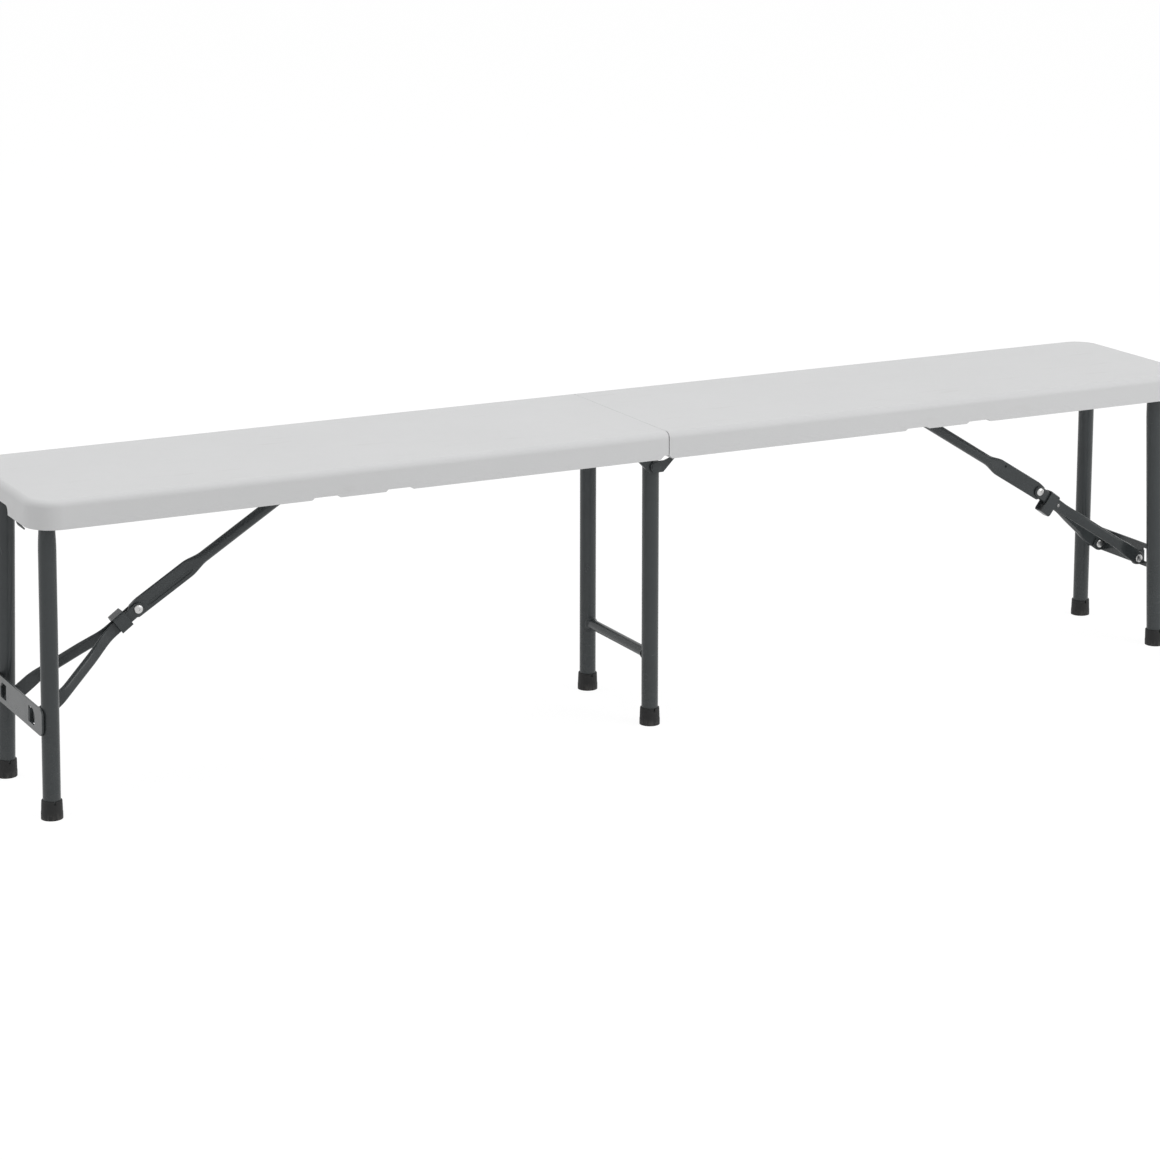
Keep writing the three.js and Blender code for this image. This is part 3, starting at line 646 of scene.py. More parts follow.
    def extrude(self, step: Sequence[float]) -> "Workpiece":
        """Extrudes the selected faces by a step in millimetres."""
        move = {"value": [s * MM for s in step]}
        bpy.ops.mesh.extrude_region_move(TRANSFORM_OT_translate=move)
        bpy.ops.object.mode_set(mode="OBJECT")
        return self

    def modify(self, kind: str, **settings: object) -> "Workpiece":
        """Adds a modifier with its settings and applies it.

        Args:
            kind: The modifier's type.
            settings: Its properties.

        Returns:
            The piece itself.
        """
        self._only()
        modifier = self.object.modifiers.new(kind.lower(), kind)
        for key, value in settings.items():
            setattr(modifier, key, value)
        bpy.ops.object.modifier_apply(modifier=modifier.name)
        return self

    def soften(self, width: float, segments: int = 2, angle: float = 40.0) -> "Workpiece":
        """Rounds every edge sharper than an angle in degrees, by a width in millimetres."""
        limit = math.radians(angle)
        return self.modify(
            "BEVEL", width=width * MM, segments=segments, limit_method="ANGLE", angle_limit=limit,
            harden_normals=False,
        )

    def cut(self, *cutters: "Workpiece") -> "Workpiece":
        """Takes other pieces out of this one and deletes them."""
        for cutter in cutters:
            self.modify("BOOLEAN", operation="DIFFERENCE", solver="MANIFOLD", object=cutter.object)
            bpy.data.objects.remove(cutter.object, do_unlink=True)
        return self

    def fuse(self, *others: "Workpiece") -> "Workpiece":
        """Adds other pieces to this one and deletes them."""
        for other in others:
            self.modify("BOOLEAN", operation="UNION", solver="MANIFOLD", object=other.object)
            bpy.data.objects.remove(other.object, do_unlink=True)
        return self

    def copied(self, name: str) -> "Workpiece":
        """A copy with a mesh of its own."""
        self._only()
        bpy.ops.object.duplicate(linked=False)
        return Workpiece(name)

    def trim(self, point: Sequence[float], keep: Sequence[float]) -> "Workpiece":
        """Cuts the piece with a plane and closes it.

        Args:
            point: A point of the plane in millimetres.
            keep: The normal that points to what is kept.

        Returns:
            The piece itself.
        """
        self._only()
        bpy.ops.object.mode_set(mode="EDIT")
        bpy.ops.mesh.select_all(action="SELECT")
        where = [p * MM for p in point]
        bpy.ops.mesh.bisect(
            plane_co=where, plane_no=keep, use_fill=True, clear_inner=True, threshold=0.001 * MM
        )
        bpy.ops.object.mode_set(mode="OBJECT")
        return self

    def hand_over(
        self, finish: bpy.types.Material, slot: Slot, body: str, *nodes: str, smooth: float = 35.0
    ) -> None:
        """Gives the piece its finish and its place among the bodies.

        Args:
            finish: Its material.
            slot: The record's slot for that material. It is not used.
            body: The body that it rides on.
            nodes: The solids that it stands for.
            smooth: The angle in degrees under which faces are shaded smooth.
        """
        self._only()
        bpy.ops.object.shade_smooth_by_angle(angle=math.radians(smooth))
        self.modify("WEIGHTED_NORMAL", keep_sharp=True)
        self.object.data.materials.clear()
        self.object.data.materials.append(finish)
        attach(self.object, body)
        if nodes:
            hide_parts(*nodes)
        calm()
        log.info("%s: %d faces on %s", self.object.name, len(self.object.data.polygons), body)


# Sections and outlines


@dataclass(frozen=True)
class Section:
    """A bar's section at one station in millimetres, its width along Z, its thickness along Y."""

    x: float
    width: float
    thickness: float
    y: float = 0.0
    z: float = 0.0

    @property
    def centre(self) -> Point:
        """The section's middle."""
        return (self.x, self.y, self.z)

    @property
    def spread(self) -> float:
        """How far the centre of each rounded edge lies from the middle."""
        return (self.width - self.thickness) / 2


def rounded_end(tip: float, centre: float, like: Section, steps: int = 6) -> list[Section]:
    """Stations that close a flat bar with a round end, from its tip to its centre.

    Args:
        tip: The end's X.
        centre: The X where the bar has its full width.
        like: The full section.
        steps: Stations on the curve.

    Returns:
        The stations from tip to centre.
    """
    stations = []
    for i in range(steps):
        angle = (i + 0.35) / steps * math.pi / 2
        x = centre + (tip - centre) * math.cos(angle)
        width = like.width * math.sin(angle)
        stations.append(Section(x, width, min(width, like.thickness), like.y, like.z))
    return stations


def blend(a: Section, b: Section, share: float) -> Section:
    """A section between two others, eased at both ends.

    Args:
        a: The first section.
        b: The second section.
        share: How far it lies from the first to the second, 0 to 1.

    Returns:
        The section between.
    """
    t = share * share * (3 - 2 * share)

    def between(p: float, q: float) -> float:
        return p + t * (q - p)

    x = a.x + share * (b.x - a.x)
    width, thickness = between(a.width, b.width), between(a.thickness, b.thickness)
    return Section(x, width, thickness, between(a.y, b.y), between(a.z, b.z))


def filled(stations: Sequence[Section], steps: int = 6) -> list[Section]:
    """The stations with eased ones between those that differ in width or thickness.

    Args:
        stations: Sections in order.
        steps: Parts that a change is divided into.

    Returns:
        All stations in order.
    """
    out = [stations[0]]
    for a, b in zip(stations, stations[1:]):
        if abs(a.width - b.width) + abs(a.thickness - b.thickness) > 0.5 and abs(a.x - b.x) > 5:
            out += [blend(a, b, i / steps) for i in range(1, steps)]
        out.append(b)
    return out


def arc(x: float, z: float, radius: float, start: float, end: float, steps: int = 8) -> Outline:
    """Points of an arc in a flat outline.

    Args:
        x: The centre's first coordinate.
        z: The centre's second coordinate.
        radius: The arc's radius.
        start: The angle that it starts at, in degrees.
        end: The angle that it ends at, in degrees.
        steps: Its facets.

    Returns:
        The points in order.
    """
    points = []
    for i in range(steps + 1):
        angle = math.radians(start + (end - start) * i / steps)
        points.append((x + radius * math.cos(angle), z + radius * math.sin(angle)))
    return points


def rounded(left: float, low: float, right: float, high: float, radius: float) -> Outline:
    """A rectangle with rounded corners as a flat outline."""
    return (
        arc(right - radius, low + radius, radius, -90, 0, 5)
        + arc(right - radius, high - radius, radius, 0, 90, 5)
        + arc(left + radius, high - radius, radius, 90, 180, 5)
        + arc(left + radius, low + radius, radius, 180, 270, 5)
    )


def upright_y(name: str, outline: Iterable[tuple[float, float]], near: float, far: float) -> Workpiece:
    """A prism along Y from an outline in X and Z."""
    return Workpiece.prism(name, [(x, near, z) for x, z in outline], (0, far - near, 0))


def upright_x(name: str, outline: Iterable[tuple[float, float]], near: float, far: float) -> Workpiece:
    """A prism along X from an outline in Y and Z."""
    return Workpiece.prism(name, [(near, y, z) for y, z in outline], (far - near, 0, 0))


def mirror(side: Side) -> Matrix:
    """From a side's outward frame to the bench's."""
    return Matrix.Diagonal((side.value, 1, 1, 1))


def outward(face: Face) -> Matrix:
    """The turn that points a turned piece's axis out of a long side."""
    return Matrix.Rotation(-face.value * math.pi / 2, 4, "X")


def along_y(x: float, z: float, face: Face) -> Matrix:
    """A turned piece's frame, its axis pointing out of a long side, at a place in X and Z."""
    return Matrix.Translation((x * MM, 0, z * MM)) @ outward(face)


def dome(radius: float, base: float, height: float, steps: int = 6) -> Outline:
    """The profile of a domed head from its rim to the axis.

    Args:
        radius: The head's radius.
        base: The height that it stands on.
        height: Its own height.
        steps: Facets of the curve.

    Returns:
        Points of radius and height.
    """
    rim = height * 0.3
    points = [(radius, base), (radius, base + rim)]
    for i in range(1, steps + 1):
        angle = i / steps * math.pi / 2
        points.append((radius * math.cos(angle), base + rim + (height - rim) * math.sin(angle)))
    points[-1] = (0, base + height)
    return points


def dimpled(radius: float, base: float, height: float) -> Outline:
    """The profile of a domed head whose crown is pressed in at its middle."""
    top = base + height
    crown = [(r, h) for r, h in dome(radius, base, height) if r > radius * 0.45]
    rim = [(radius * 0.36, top - 0.1), (radius * 0.28, top - 0.2)]
    return [*crown, *rim, (radius * 0.2, top - 1.0), (0, top - 1.1)]


# Sub-assemblies


@dataclass
class SeatHalf:
    """One moulded half of the seat: a deck with rolled edges and a skirt, open underneath."""

    side: Side
    finishes: Finishes
    seam: float = 0.15
    end: float = 900.0
    half_width: float = 147.0
    top: float = 430.0
    bottom: float = 393.0
    deck: float = 6.0
    wall: float = 12.0
    seam_wall: float = 6.0
    corner: float = 40.0
    edge: float = 9.0
    seam_edge: float = 0.4
    seam_front: float = 1.2
    seam_gap: float = 0.55
    skin: float = 0.01
    grip_half: float = 42.0
    grip_depth: float = 12.0
    reliefs: tuple[float, float] = (402.0, 506.0)
    relief_half: float = 16.0
    relief_depth: float = 3.0

    def _prong(self) -> None:
        """The end of a bent wire that shows below the end skirt."""
        x, start, turn, low = self.end - self.wall - 1.5, -36.0, 8.0, 388.0
        way = -1 if self.side is Side.RIGHT else 1
        wire = Workpiece.disc(f"keeper_wire_{self.side.tag}", 1.8, (x, start, self.bottom + 11), "Z", 12)
        wire.pick_points(lambda p: True).extrude((0, 0, low - self.bottom - 11))
        wire.pick_points(lambda p: p.z < low + SAME)
        centre = (x * MM, (start - turn) * MM, low * MM)
        bpy.ops.mesh.spin(steps=8, angle=math.radians(84), center=centre, axis=(1, 0, 0))
        bpy.ops.mesh.extrude_region_move(TRANSFORM_OT_translate={"value": (0, -22 * MM, -1 * MM)})
        tip = (x * MM, (start - turn - 23) * MM, (low - turn - 1) * MM)
        bpy.ops.transform.resize(value=(0.6, 0.6, 0.6), center_override=tip)
        bpy.ops.object.mode_set(mode="OBJECT")
        wire.turn_out()
        wire.placed(mirror(self.side) @ Matrix.Diagonal((1, way, 1, 1)))
        wire.hand_over(self.finishes.steel, Slot.STEEL, "seat_" + self.side.tag)

    def build(self) -> None:
        """Models the half and hands it over."""
        self._prong()
        node = "seat_" + self.side.tag
        shell = self._shell(node + "_shell")
        shell.cut(*self._cutters())
        shell.soften(0.7, 2, 50)
        shell.cut(*self._seam_gaps())
        shell.trim((0, -self.half_width - self.skin, 0), (0, 1, 0))
        shell.placed(mirror(self.side))
        shell.hand_over(self.finishes.seat, Slot.SEAT, node, node, smooth=30)

    def _shell(self, name: str) -> Workpiece:
        """The half before its edge is notched."""
        low = (self.seam, -self.half_width, self.bottom)
        shell = Workpiece.block(name, low, (self.end, self.half_width, self.top))
        outer = self.end - 1
        shell.pick_edges(lambda a, b: min(a.x, b.x) > outer and abs(a.z - b.z) > 1).bevel(self.corner, 14)
        inner = self.seam + 0.01
        on_top = self.top - 0.01
        shell.pick_edges(
            lambda a, b: min(a.z, b.z) > on_top and not max(a.x, b.x) < inner
        ).bevel(self.edge, 6)
        across = self.half_width - self.edge - 0.5
        shell.pick_edges(
            lambda a, b: max(a.x, b.x) < inner and abs(a.z - b.z) < 0.01 and min(a.z, b.z) > on_top
        ).bevel(self.seam_edge, 2)
        shell.pick_edges(
            lambda a, b: max(a.x, b.x) < inner and min(abs(a.y), abs(b.y)) > across
            and max(a.z, b.z) < self.top - self.edge + 0.01 and abs(a.z - b.z) > 1
        ).bevel(self.seam_front, 2)
        shell.pick_faces(lambda c, n: n.z < -0.99).inset(self.wall)
        depth = self.top - self.deck - self.bottom
        shell.extrude((0, 0, depth))
        self._widen_at_seam(shell)
        return shell

    def _widen_at_seam(self, shell: Workpiece) -> None:
        """Moves the cavity's seam wall outward to the seam wall's own thickness."""
        edge = self.seam + self.wall + 0.5
        shell.pick_faces(lambda c, n: n.x > 0.99 and c.x < edge and self.bottom < c.z < self.top - self.deck)
        bpy.ops.transform.translate(value=((self.seam_wall - self.wall) * MM, 0, 0))
        bpy.ops.object.mode_set(mode="OBJECT")

    def _seam_gaps(self) -> list[Workpiece]:
        """The gaps that show where the rolled edges of the two halves meet."""
        inner, outer = self.half_width - self.edge - 4, self.half_width + 5
        low, high = self.bottom - 5, self.top + 5
        stop = self.seam + self.seam_gap
        return [
            Workpiece.block("gap", (-5, near, low), (stop, far, high))
            for near, far in ((-outer, -inner), (inner, outer))
        ]

    def _cutters(self) -> list[Workpiece]:
        """The cut-outs in the skirt's lower edge."""
        out = self.half_width + 5
        low = self.bottom
        cutters = []
        for centre in self.reliefs:
            half, ramp = self.relief_half, 4
            outline = [
                (centre - half - ramp - 5, low - 5), (centre + half + ramp + 5, low - 5),
                (centre + half + ramp, low), (centre + half, low + self.relief_depth),
                (centre - half, low + self.relief_depth), (centre - half - ramp, low),
            ]
            cutters.append(upright_y("relief", outline, -out, out))
        wide = self.seam + (7.5 if self.side is Side.LEFT else 0.0)
        notch = [(-6, low - 5), (wide + 5, low - 5), (wide + 5, low), (wide, low + 5), (-6, low + 5)]
        cutters.append(upright_y("notch", notch, -out, out))
        grip = rounded(-self.grip_half, low - self.grip_depth, self.grip_half, low + self.grip_depth, 7)
        cutters.append(upright_x("grip", grip, self.end - self.wall - 4, self.end + 5))
        return cutters


@dataclass
class Leg:
    """A tubular leg from its pivot to the floor, with its foot cap."""

    name: str
    body: str
    finishes: Finishes
    top: Point
    foot: Point
    top_reach: float
    top_width: float
    taper: float
    radius: float = 11.75
    cap_height: float = 25.0
    cap_radius: float = 14.4
    cap_top: float = 13.6

    def frame(self) -> Matrix:
        """The leg's frame: X runs down the leg from its pivot, and Y lies across the bench."""
        down = (Vector(self.foot) - Vector(self.top)).normalized()
        across = Vector((0, 1, 0))
        third = down.cross(across).normalized()
        across = third.cross(down)
        turn = Matrix((down, across, third)).transposed().to_4x4()
        return Matrix.Translation(Vector(self.top) * MM) @ turn

    def length(self) -> float:
        """The distance from the pivot to the floor along the leg."""
        return (Vector(self.foot) - Vector(self.top)).length

    def build(self) -> None:
        """Models the tube and its cap."""
        round_tube = Section(self.taper, 2 * self.radius, 2 * self.radius)
        shoulder = Section(self.top_reach * 0.2, self.top_width, self.top_width)
        crown = [
            Section(-self.top_reach * math.cos(a), self.top_width * math.sin(a), self.top_width * math.sin(a))
            for a in (0.12, 0.4, 0.7, 1.0, 1.3)
        ]
        end = Section(self.length() - 4, 2 * self.radius, 2 * self.radius)
        tube = Workpiece.bar(self.name + "_tube", crown + filled([shoulder, round_tube], 8) + [end], 40)
        tube.placed(self.frame())
        tube.hand_over(self.finishes.steel, Slot.STEEL, self.body, self.name)
        self._cap()

    def _cap(self) -> None:
        """Models the foot cap, cut level with the floor."""
        length = self.length()
        radius, top, height = self.cap_radius, self.cap_top, self.cap_height
        bore = self.radius + 0.2
        profile = [
            (0, 10), (radius - 0.4, 10), (radius, 0), (radius, -height * 0.34),
            (radius - 0.35, -height * 0.4), (top + 0.25, -height * 0.72), (top, -height + 1.2),
            (top - 0.35, -height + 0.35), (top - 1.1, -height), (bore, -height), (bore, -4), (0, -4),
        ]
        name = self.name.replace("leg", "foot")
        cap = Workpiece.turned(name + "_cap", profile)
        low = (-1.1, -radius - 2, -height - 2)
        cap.cut(Workpiece.block("slot", low, (1.1, -self.radius + 1, -height + 4.5)))
        turn = Matrix.Rotation(math.pi / 2, 4, "Y")
        cap.placed(self.frame() @ Matrix.Translation((length * MM, 0, 0)) @ turn)
        cap.trim((0, 0, 0), (0, 0, 1))
        cap.hand_over(self.finishes.cap, Slot.FOOT, self.body, name)


@dataclass
class EndFrame:
    """An end leg frame: two legs, the cross plate with its lugs, rivets and rod."""

    side: Side
    finishes: Finishes
    pivot_out: float = 862.0
    pivot_height: float = 412.0
    foot_out: float = 876.5
    top_half: float = 84.1
    foot_half: float = 96.2
    plate_gap: float = 12.05
    plate_thick: float = 2.5
    plate_drop: float = 283.0
    plate_height: float = 36.0
    plate_half: float = 102.0
    lug_drop: float = 286.2
    lug_inner: float = 47.0
    lug_thick: float = 2.5
    lug_reach: float = 10.5
    arm_end: float = 4.0
    gap: float = 0.3
    rivet_radius: float = 6.0
    rivet_height: float = 2.4
    window: tuple[float, float, float] = (47.0, 72.0, 21.0)

    @property
    def body(self) -> str:
        """The body that the frame rides on."""
        return "end_leg_" + self.side.tag

    def matrix(self) -> Matrix:
        """From the leg frame's own axes to the bench's."""
        splay = math.atan2(self.foot_out - self.pivot_out, self.pivot_height)
        place = Matrix.Translation((self.pivot_out * MM, 0, self.pivot_height * MM))
        return mirror(self.side) @ place @ Matrix.Rotation(-splay, 4, "Y")

    def build(self) -> None:
        """Models everything on the frame."""
        self._legs()
        self._plate()
        self._rod()
        self._rivets()

    def _legs(self) -> None:
        """The two legs and their caps."""
        for face in Face:
            out = self.side.value
            Leg(
                name=f"end_leg_{self.side.tag}_{face.tag}",
                body=self.body,
                finishes=self.finishes,
                top=(out * self.pivot_out, face.value * self.top_half, self.pivot_height),
                foot=(out * self.foot_out, face.value * self.foot_half, 0.0),
                top_reach=9.5,
                top_width=19.0,
                taper=60.0,
            ).build()

    def _plate(self) -> None:
        """The cross plate with its punched windows and bent lugs."""
        inner, outer = self.plate_gap, self.plate_gap + self.plate_thick
        middle = -self.plate_drop
        half = self.plate_height / 2
        outline = rounded(-self.plate_half, middle - half, self.plate_half, middle + half, 9)
        plate = upright_x("cross_plate_" + self.side.tag + "_sheet", outline, inner, outer)
        start, stop, tall = self.window
        for face in Face:
            way = face.value
            low, high = middle - tall / 2, middle + tall / 2
            shape = [
                (start, low), (stop - 2, low), (stop, low + 2),
                (stop, high - 7), (stop - 7, high), (start, high),
            ]
            plate.cut(upright_x("window", [(way * y, z) for y, z in shape], inner - 5, outer + 5))
        for face in Face:
            way = face.value
            reach = self.lug_reach
            tip = arc(0, -self.lug_drop, reach, 90, 270, 12)
            shape = [(outer - 0.6, -self.lug_drop - reach), (outer - 0.6, -self.lug_drop + reach), *tip]
            near, far = way * self.lug_inner, way * (self.lug_inner + self.lug_thick)
            plate.fuse(upright_y("lug", shape, near, far))
        plate.soften(0.5, 2)
        plate.placed(self.matrix())
        plate.hand_over(self.finishes.steel, Slot.STEEL, self.body, "cross_plate_" + self.side.tag)

    def _rod(self) -> None:
        """The pivot rod through both leg tops, with chamfered ends."""
        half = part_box("leg_rod_" + self.side.tag)[1][1] / MM
        profile = [(0, -half), (4, -half), (5, -half + 1), (5, half - 1), (4, half), (0, half)]
        rod = Workpiece.turned("leg_rod_" + self.side.tag + "_bar", profile, 32)
        place = mirror(self.side) @ along_y(self.pivot_out, self.pivot_height, Face.BACK)
        rod.placed(place)
        rod.hand_over(self.finishes.pin, Slot.STEEL, self.body, "leg_rod_" + self.side.tag)

    def _rivets(self) -> None:
        """The rivets through the lugs and the lower brace's ends."""
        for face in Face:
            node = f"lug_rivet_{self.side.tag}_{face.tag}"
            near = self.lug_inner - self.gap
            far = self.lug_inner + self.lug_thick + self.gap + self.arm_end + self.gap
            head = dome(self.rivet_radius, far, self.rivet_height)
            tail = [(r, near - (h - far)) for r, h in reversed(head)]
            rivet = Workpiece.turned(node + "_head", [*tail, (3, near), (3, far), *head], 32)
            local = Matrix.Translation((0, 0, -self.lug_drop * MM))
            rivet.placed(self.matrix() @ local @ outward(face))
            rivet.hand_over(self.finishes.rivet, Slot.RIVET, self.body, node)


@dataclass
class Brace:
    """A folding brace: two lower arms, an upper part, their rivets and the lock ring."""

    side: Side
    finishes: Finishes
    knee: tuple[float, float] = (718.105, 236.964)
    lug: tuple[float, float] = (872.066, 125.977)
    anchor: tuple[float, float] = (446.0, 405.0)
    stem_inner: float = 2.8
    stem_width: float = 17.0
    stem_thick: float = 3.0
    stem_length: float = 40.0
    bend: float = 20.0
    end_inner: float = 49.8
    arm_width: float = 16.0
    arm_thick: float = 9.0
    paddle_width: float = 25.0
    paddle_thick: float = 5.0
    paddle_length: float = 84.0
    tube: float = 15.5
    tail_width: float = 12.0
    eye_width: float = 18.0
    eye_thick: float = 7.0
    rivet_radius: float = 6.0
    rivet_height: float = 2.4
    gap: float = 0.3
    stop_out: float = 43.0
    ring_span: tuple[float, float] = (18.0, 36.5)
    ring_thick: float = 2.0
    closed_ring: Point = (7.4, 9.6, -21.4)
    open_ring: Point = (10.0, 12.0, -16.0)
    open_ring_end: float = -9.2

    def frame(self, start: tuple[float, float], end: tuple[float, float]) -> Matrix:
        """A frame at the knee whose X runs outward from one point towards another."""
        angle = math.atan2(end[1] - start[1], end[0] - start[0])
        place = Matrix.Translation((self.knee[0] * MM, 0, self.knee[1] * MM))
        return mirror(self.side) @ place @ Matrix.Rotation(-angle, 4, "Y")

    @property
    def outer_face(self) -> Face:
        """The face with the pressed groove; the same brace is turned half round at the other end."""
        return Face.FRONT if self.side is Side.LEFT else Face.BACK

    @property
    def lower_frame(self) -> Matrix:
        """The lower part's frame."""
        return self.frame(self.knee, self.lug)

    @property
    def upper_frame(self) -> Matrix:
        """The upper part's frame."""
        return self.frame(self.anchor, self.knee)

    @property
    def lower_length(self) -> float:
        """From the knee to the lug rivets."""
        return math.dist(self.knee, self.lug)

    @property
    def upper_length(self) -> float:
        """From the knee to the anchor rod."""
        return math.dist(self.knee, self.anchor)

    def build(self) -> None:
        """Models the whole brace."""
        self._arms()
        self._upper()
        self._rivets()
        self._ring()

    def _arm_inner(self, x: float) -> float:
        """The arm's inner face at a station, in millimetres from the middle."""
        flat = self.lower_length - 24
        straight_from, straight_to = self.stem_length + self.bend, flat - self.bend
        slope = (self.end_inner - self.stem_inner) / (self.bend + straight_to - straight_from)
        if x <= self.stem_length:
            return self.stem_inner
        if x <= straight_from:
            return self.stem_inner + slope / 2 * (x - self.stem_length) ** 2 / self.bend
        if x <= straight_to:
            return self.stem_inner + slope * (self.bend / 2 + x - straight_from)
        return self.end_inner - slope / 2 * max(flat - x, 0) ** 2 / self.bend

    def _arms(self) -> None:
        """The two arms, flat at the knee and at the lug and oval between."""
        length = self.lower_length
        sizes = [
            Section(self.stem_length, self.stem_width, self.stem_thick),
            Section(56, self.arm_width, self.stem_thick + 0.6),
            Section(94, self.arm_width, self.arm_thick),
            Section(length - 50, self.arm_width, self.arm_thick),
            Section(length - 24, 20, 4),
        ]
        first, last = sizes[0], sizes[-1]

        def full(x: float) -> Section:
            size = last if x >= last.x else first
            for a, b in zip(sizes, sizes[1:]):
                if a.x <= x <= b.x:
                    size = blend(a, b, (x - a.x) / (b.x - a.x))
            centre = self._arm_inner(x) + size.thickness / 2
            return Section(x, size.width, size.thickness, centre)

        spine = [0.0] + [self.stem_length + i * (length - self.stem_length) / 30 for i in range(31)]
        knee_end = rounded_end(-self.stem_width / 2, 0, full(0))
        lug_end = rounded_end(length + 10, length, full(length))
        stations = knee_end + [full(x) for x in spine] + lug_end[::-1]
        for face in Face:
            node = f"brace_arm_{self.side.tag}_{face.tag}"
            arm = Workpiece.bar(node + "_strap", stations)
            flip = Matrix.Diagonal((1, face.value, 1, 1))
            arm.placed(self.lower_frame @ flip)
            arm.hand_over(self.finishes.steel, Slot.STEEL, "lower_brace_" + self.side.tag, node)

    def _upper(self) -> None:
        """The upper part: tail, paddle with a pressed groove, tube and flat eye."""
        tail = Section(31, self.tail_width, self.paddle_thick)
        eye = Section(-self.upper_length, self.eye_width, self.eye_thick)
        pad = -self.paddle_length
        stations = [
            *rounded_end(tail.x + 6, tail.x, tail),
            tail,
            Section(13, self.tail_width, self.paddle_thick),
            Section(9.5, 14.5, self.paddle_thick),
            Section(6, 22.5, self.paddle_thick),
            Section(4, self.paddle_width, self.paddle_thick),
            Section(-22, self.paddle_width, self.paddle_thick),
            Section(pad, self.paddle_width, self.paddle_thick),
            Section(pad - 28, self.tube, self.tube),
            Section(eye.x + 52, self.tube, self.tube),
            Section(eye.x + 24, self.eye_width, self.eye_thick),
            eye,
            *rounded_end(eye.x - 9, eye.x, eye)[::-1],
        ]
        node = "upper_brace_" + self.side.tag
        piece = Workpiece.bar(node + "_bar", filled(stations, 8), 40)
        groove = ((-12, 1.2, 1), (-20, 5, 4), (pad, 5, 4), (pad - 6, 1.2, 1))
        y = self.outer_face.value * (self.paddle_thick / 2 + 0.3)
        press = Workpiece.bar("groove", [Section(x, w, t, y, -4.2) for x, w, t in groove], 16)
        hole = Workpiece.turned("hole", [(0, 0.6), (2, 0.6), (2, 8), (0, 8)], 20)
        hole.placed(along_y(-77, 6, Face(-self.outer_face.value)))
        slope = [(20, 8.2), (-42, 16.26), (-42, 26), (20, 26)]
        ramp = upright_y("ramp", slope, -20, 20)
        ramp.placed(self.upper_frame.inverted() @ self.lower_frame)
        piece.cut(press, hole, ramp)
        piece.placed(self.upper_frame)
        piece.hand_over(self.finishes.steel, Slot.STEEL, node, node)

    def _rivets(self) -> None:
        """The knee rivet's two halves and the stop rivet below the ring."""
        body = "lower_brace_" + self.side.tag
        face_y = self.stem_inner + self.stem_thick
        for face in Face:
            node = f"knee_rivet_{self.side.tag}_{face.tag}"
            base = face_y + self.gap
            shank = [(0, self.stem_inner), (3, self.stem_inner), (3, base)]
            crown = dimpled(self.rivet_radius, base, self.rivet_height)
            head = Workpiece.turned(node + "_head", shank + crown, 36)
            head.placed(self.lower_frame @ outward(face))
            head.hand_over(self.finishes.rivet, Slot.RIVET, body, node)
            if face is self.outer_face:
                continue
            stop = Workpiece.turned(
                f"stop_rivet_{self.side.tag}_{face.tag}",
                [(0, self.stem_inner), (1.5, self.stem_inner), (1.5, face_y)] + dome(2.6, face_y, 0.9), 24,
            )
            stop.placed(self.lower_frame @ Matrix.Translation((self.stop_out * MM, 0, 0)) @ outward(face))
            stop.hand_over(self.finishes.pin, Slot.RIVET, body)

    def _ring(self) -> None:
        """The lock ring, a strip bent round the arms and the tail, closed on the right side only."""
        closed = self.side is Side.RIGHT
        half, top, low = self.closed_ring if closed else self.open_ring
        start, stop = self.ring_span
        thick = self.ring_thick
        node = "lock_clip_" + self.side.tag
        outline = rounded(-half - thick, low - thick, half + thick, top + thick, 4)
        ring = upright_x(node + "_ring", outline, start, stop)
        ring.cut(upright_x("inside", rounded(-half, low, half, top, 2), start - 3, stop + 3))
        if not closed:
            ring.trim((0, 0, self.open_ring_end), (0, 0, 1))
        ring.soften(0.5, 2, 50)
        ring.placed(self.lower_frame)
        ring.hand_over(self.finishes.steel, Slot.STEEL, node, node)


@dataclass
class Screws:
    """Pan-head screws with a cross recess that hold brackets up to the deck."""

    finishes: Finishes
    radius: float = 4.2
    height: float = 2.4
    pattern: Workpiece | None = field(default=None, init=False)

    def _first(self) -> Workpiece:
        """The screw that the others are copied from, its head pointing down."""
        profile = [(0, 0), (self.radius, 0), (self.radius, 0.9)]
        steps = 5
        for i in range(1, steps + 1):
            angle = i / steps * math.pi / 2
            profile.append((self.radius * math.cos(angle), 0.9 + (self.height - 0.9) * math.sin(angle)))
        profile[-1] = (0, self.height)
        screw = Workpiece.turned("screw_pattern", profile, 24)
        for wide, deep in ((2.2, 0.45), (0.45, 2.2)):
            screw.cut(Workpiece.block("recess", (-wide, -deep, 1.1), (wide, deep, 4)))
        return screw.placed(Matrix.Rotation(math.pi, 4, "X"))

    def place(self, name: str, body: str, at: Sequence[float], turn: float) -> None:
        """Puts one screw under a flange.

        Args:
            name: Its name.
            body: The body that it rides on.
            at: Its place in millimetres.
            turn: How far it is turned, in degrees.
        """
        if self.pattern is None:
            self.pattern = self._first()
        screw = self.pattern.copied(name)
        spot = Matrix.Translation(Vector(at) * MM)
        screw.placed(spot @ Matrix.Rotation(math.radians(turn), 4, "Z"))
        screw.hand_over(self.finishes.pin, Slot.RIVET, body)

    def clear(self) -> None:
        """Deletes the pattern."""
        if self.pattern is not None:
            bpy.data.objects.remove(self.pattern.object, do_unlink=True)


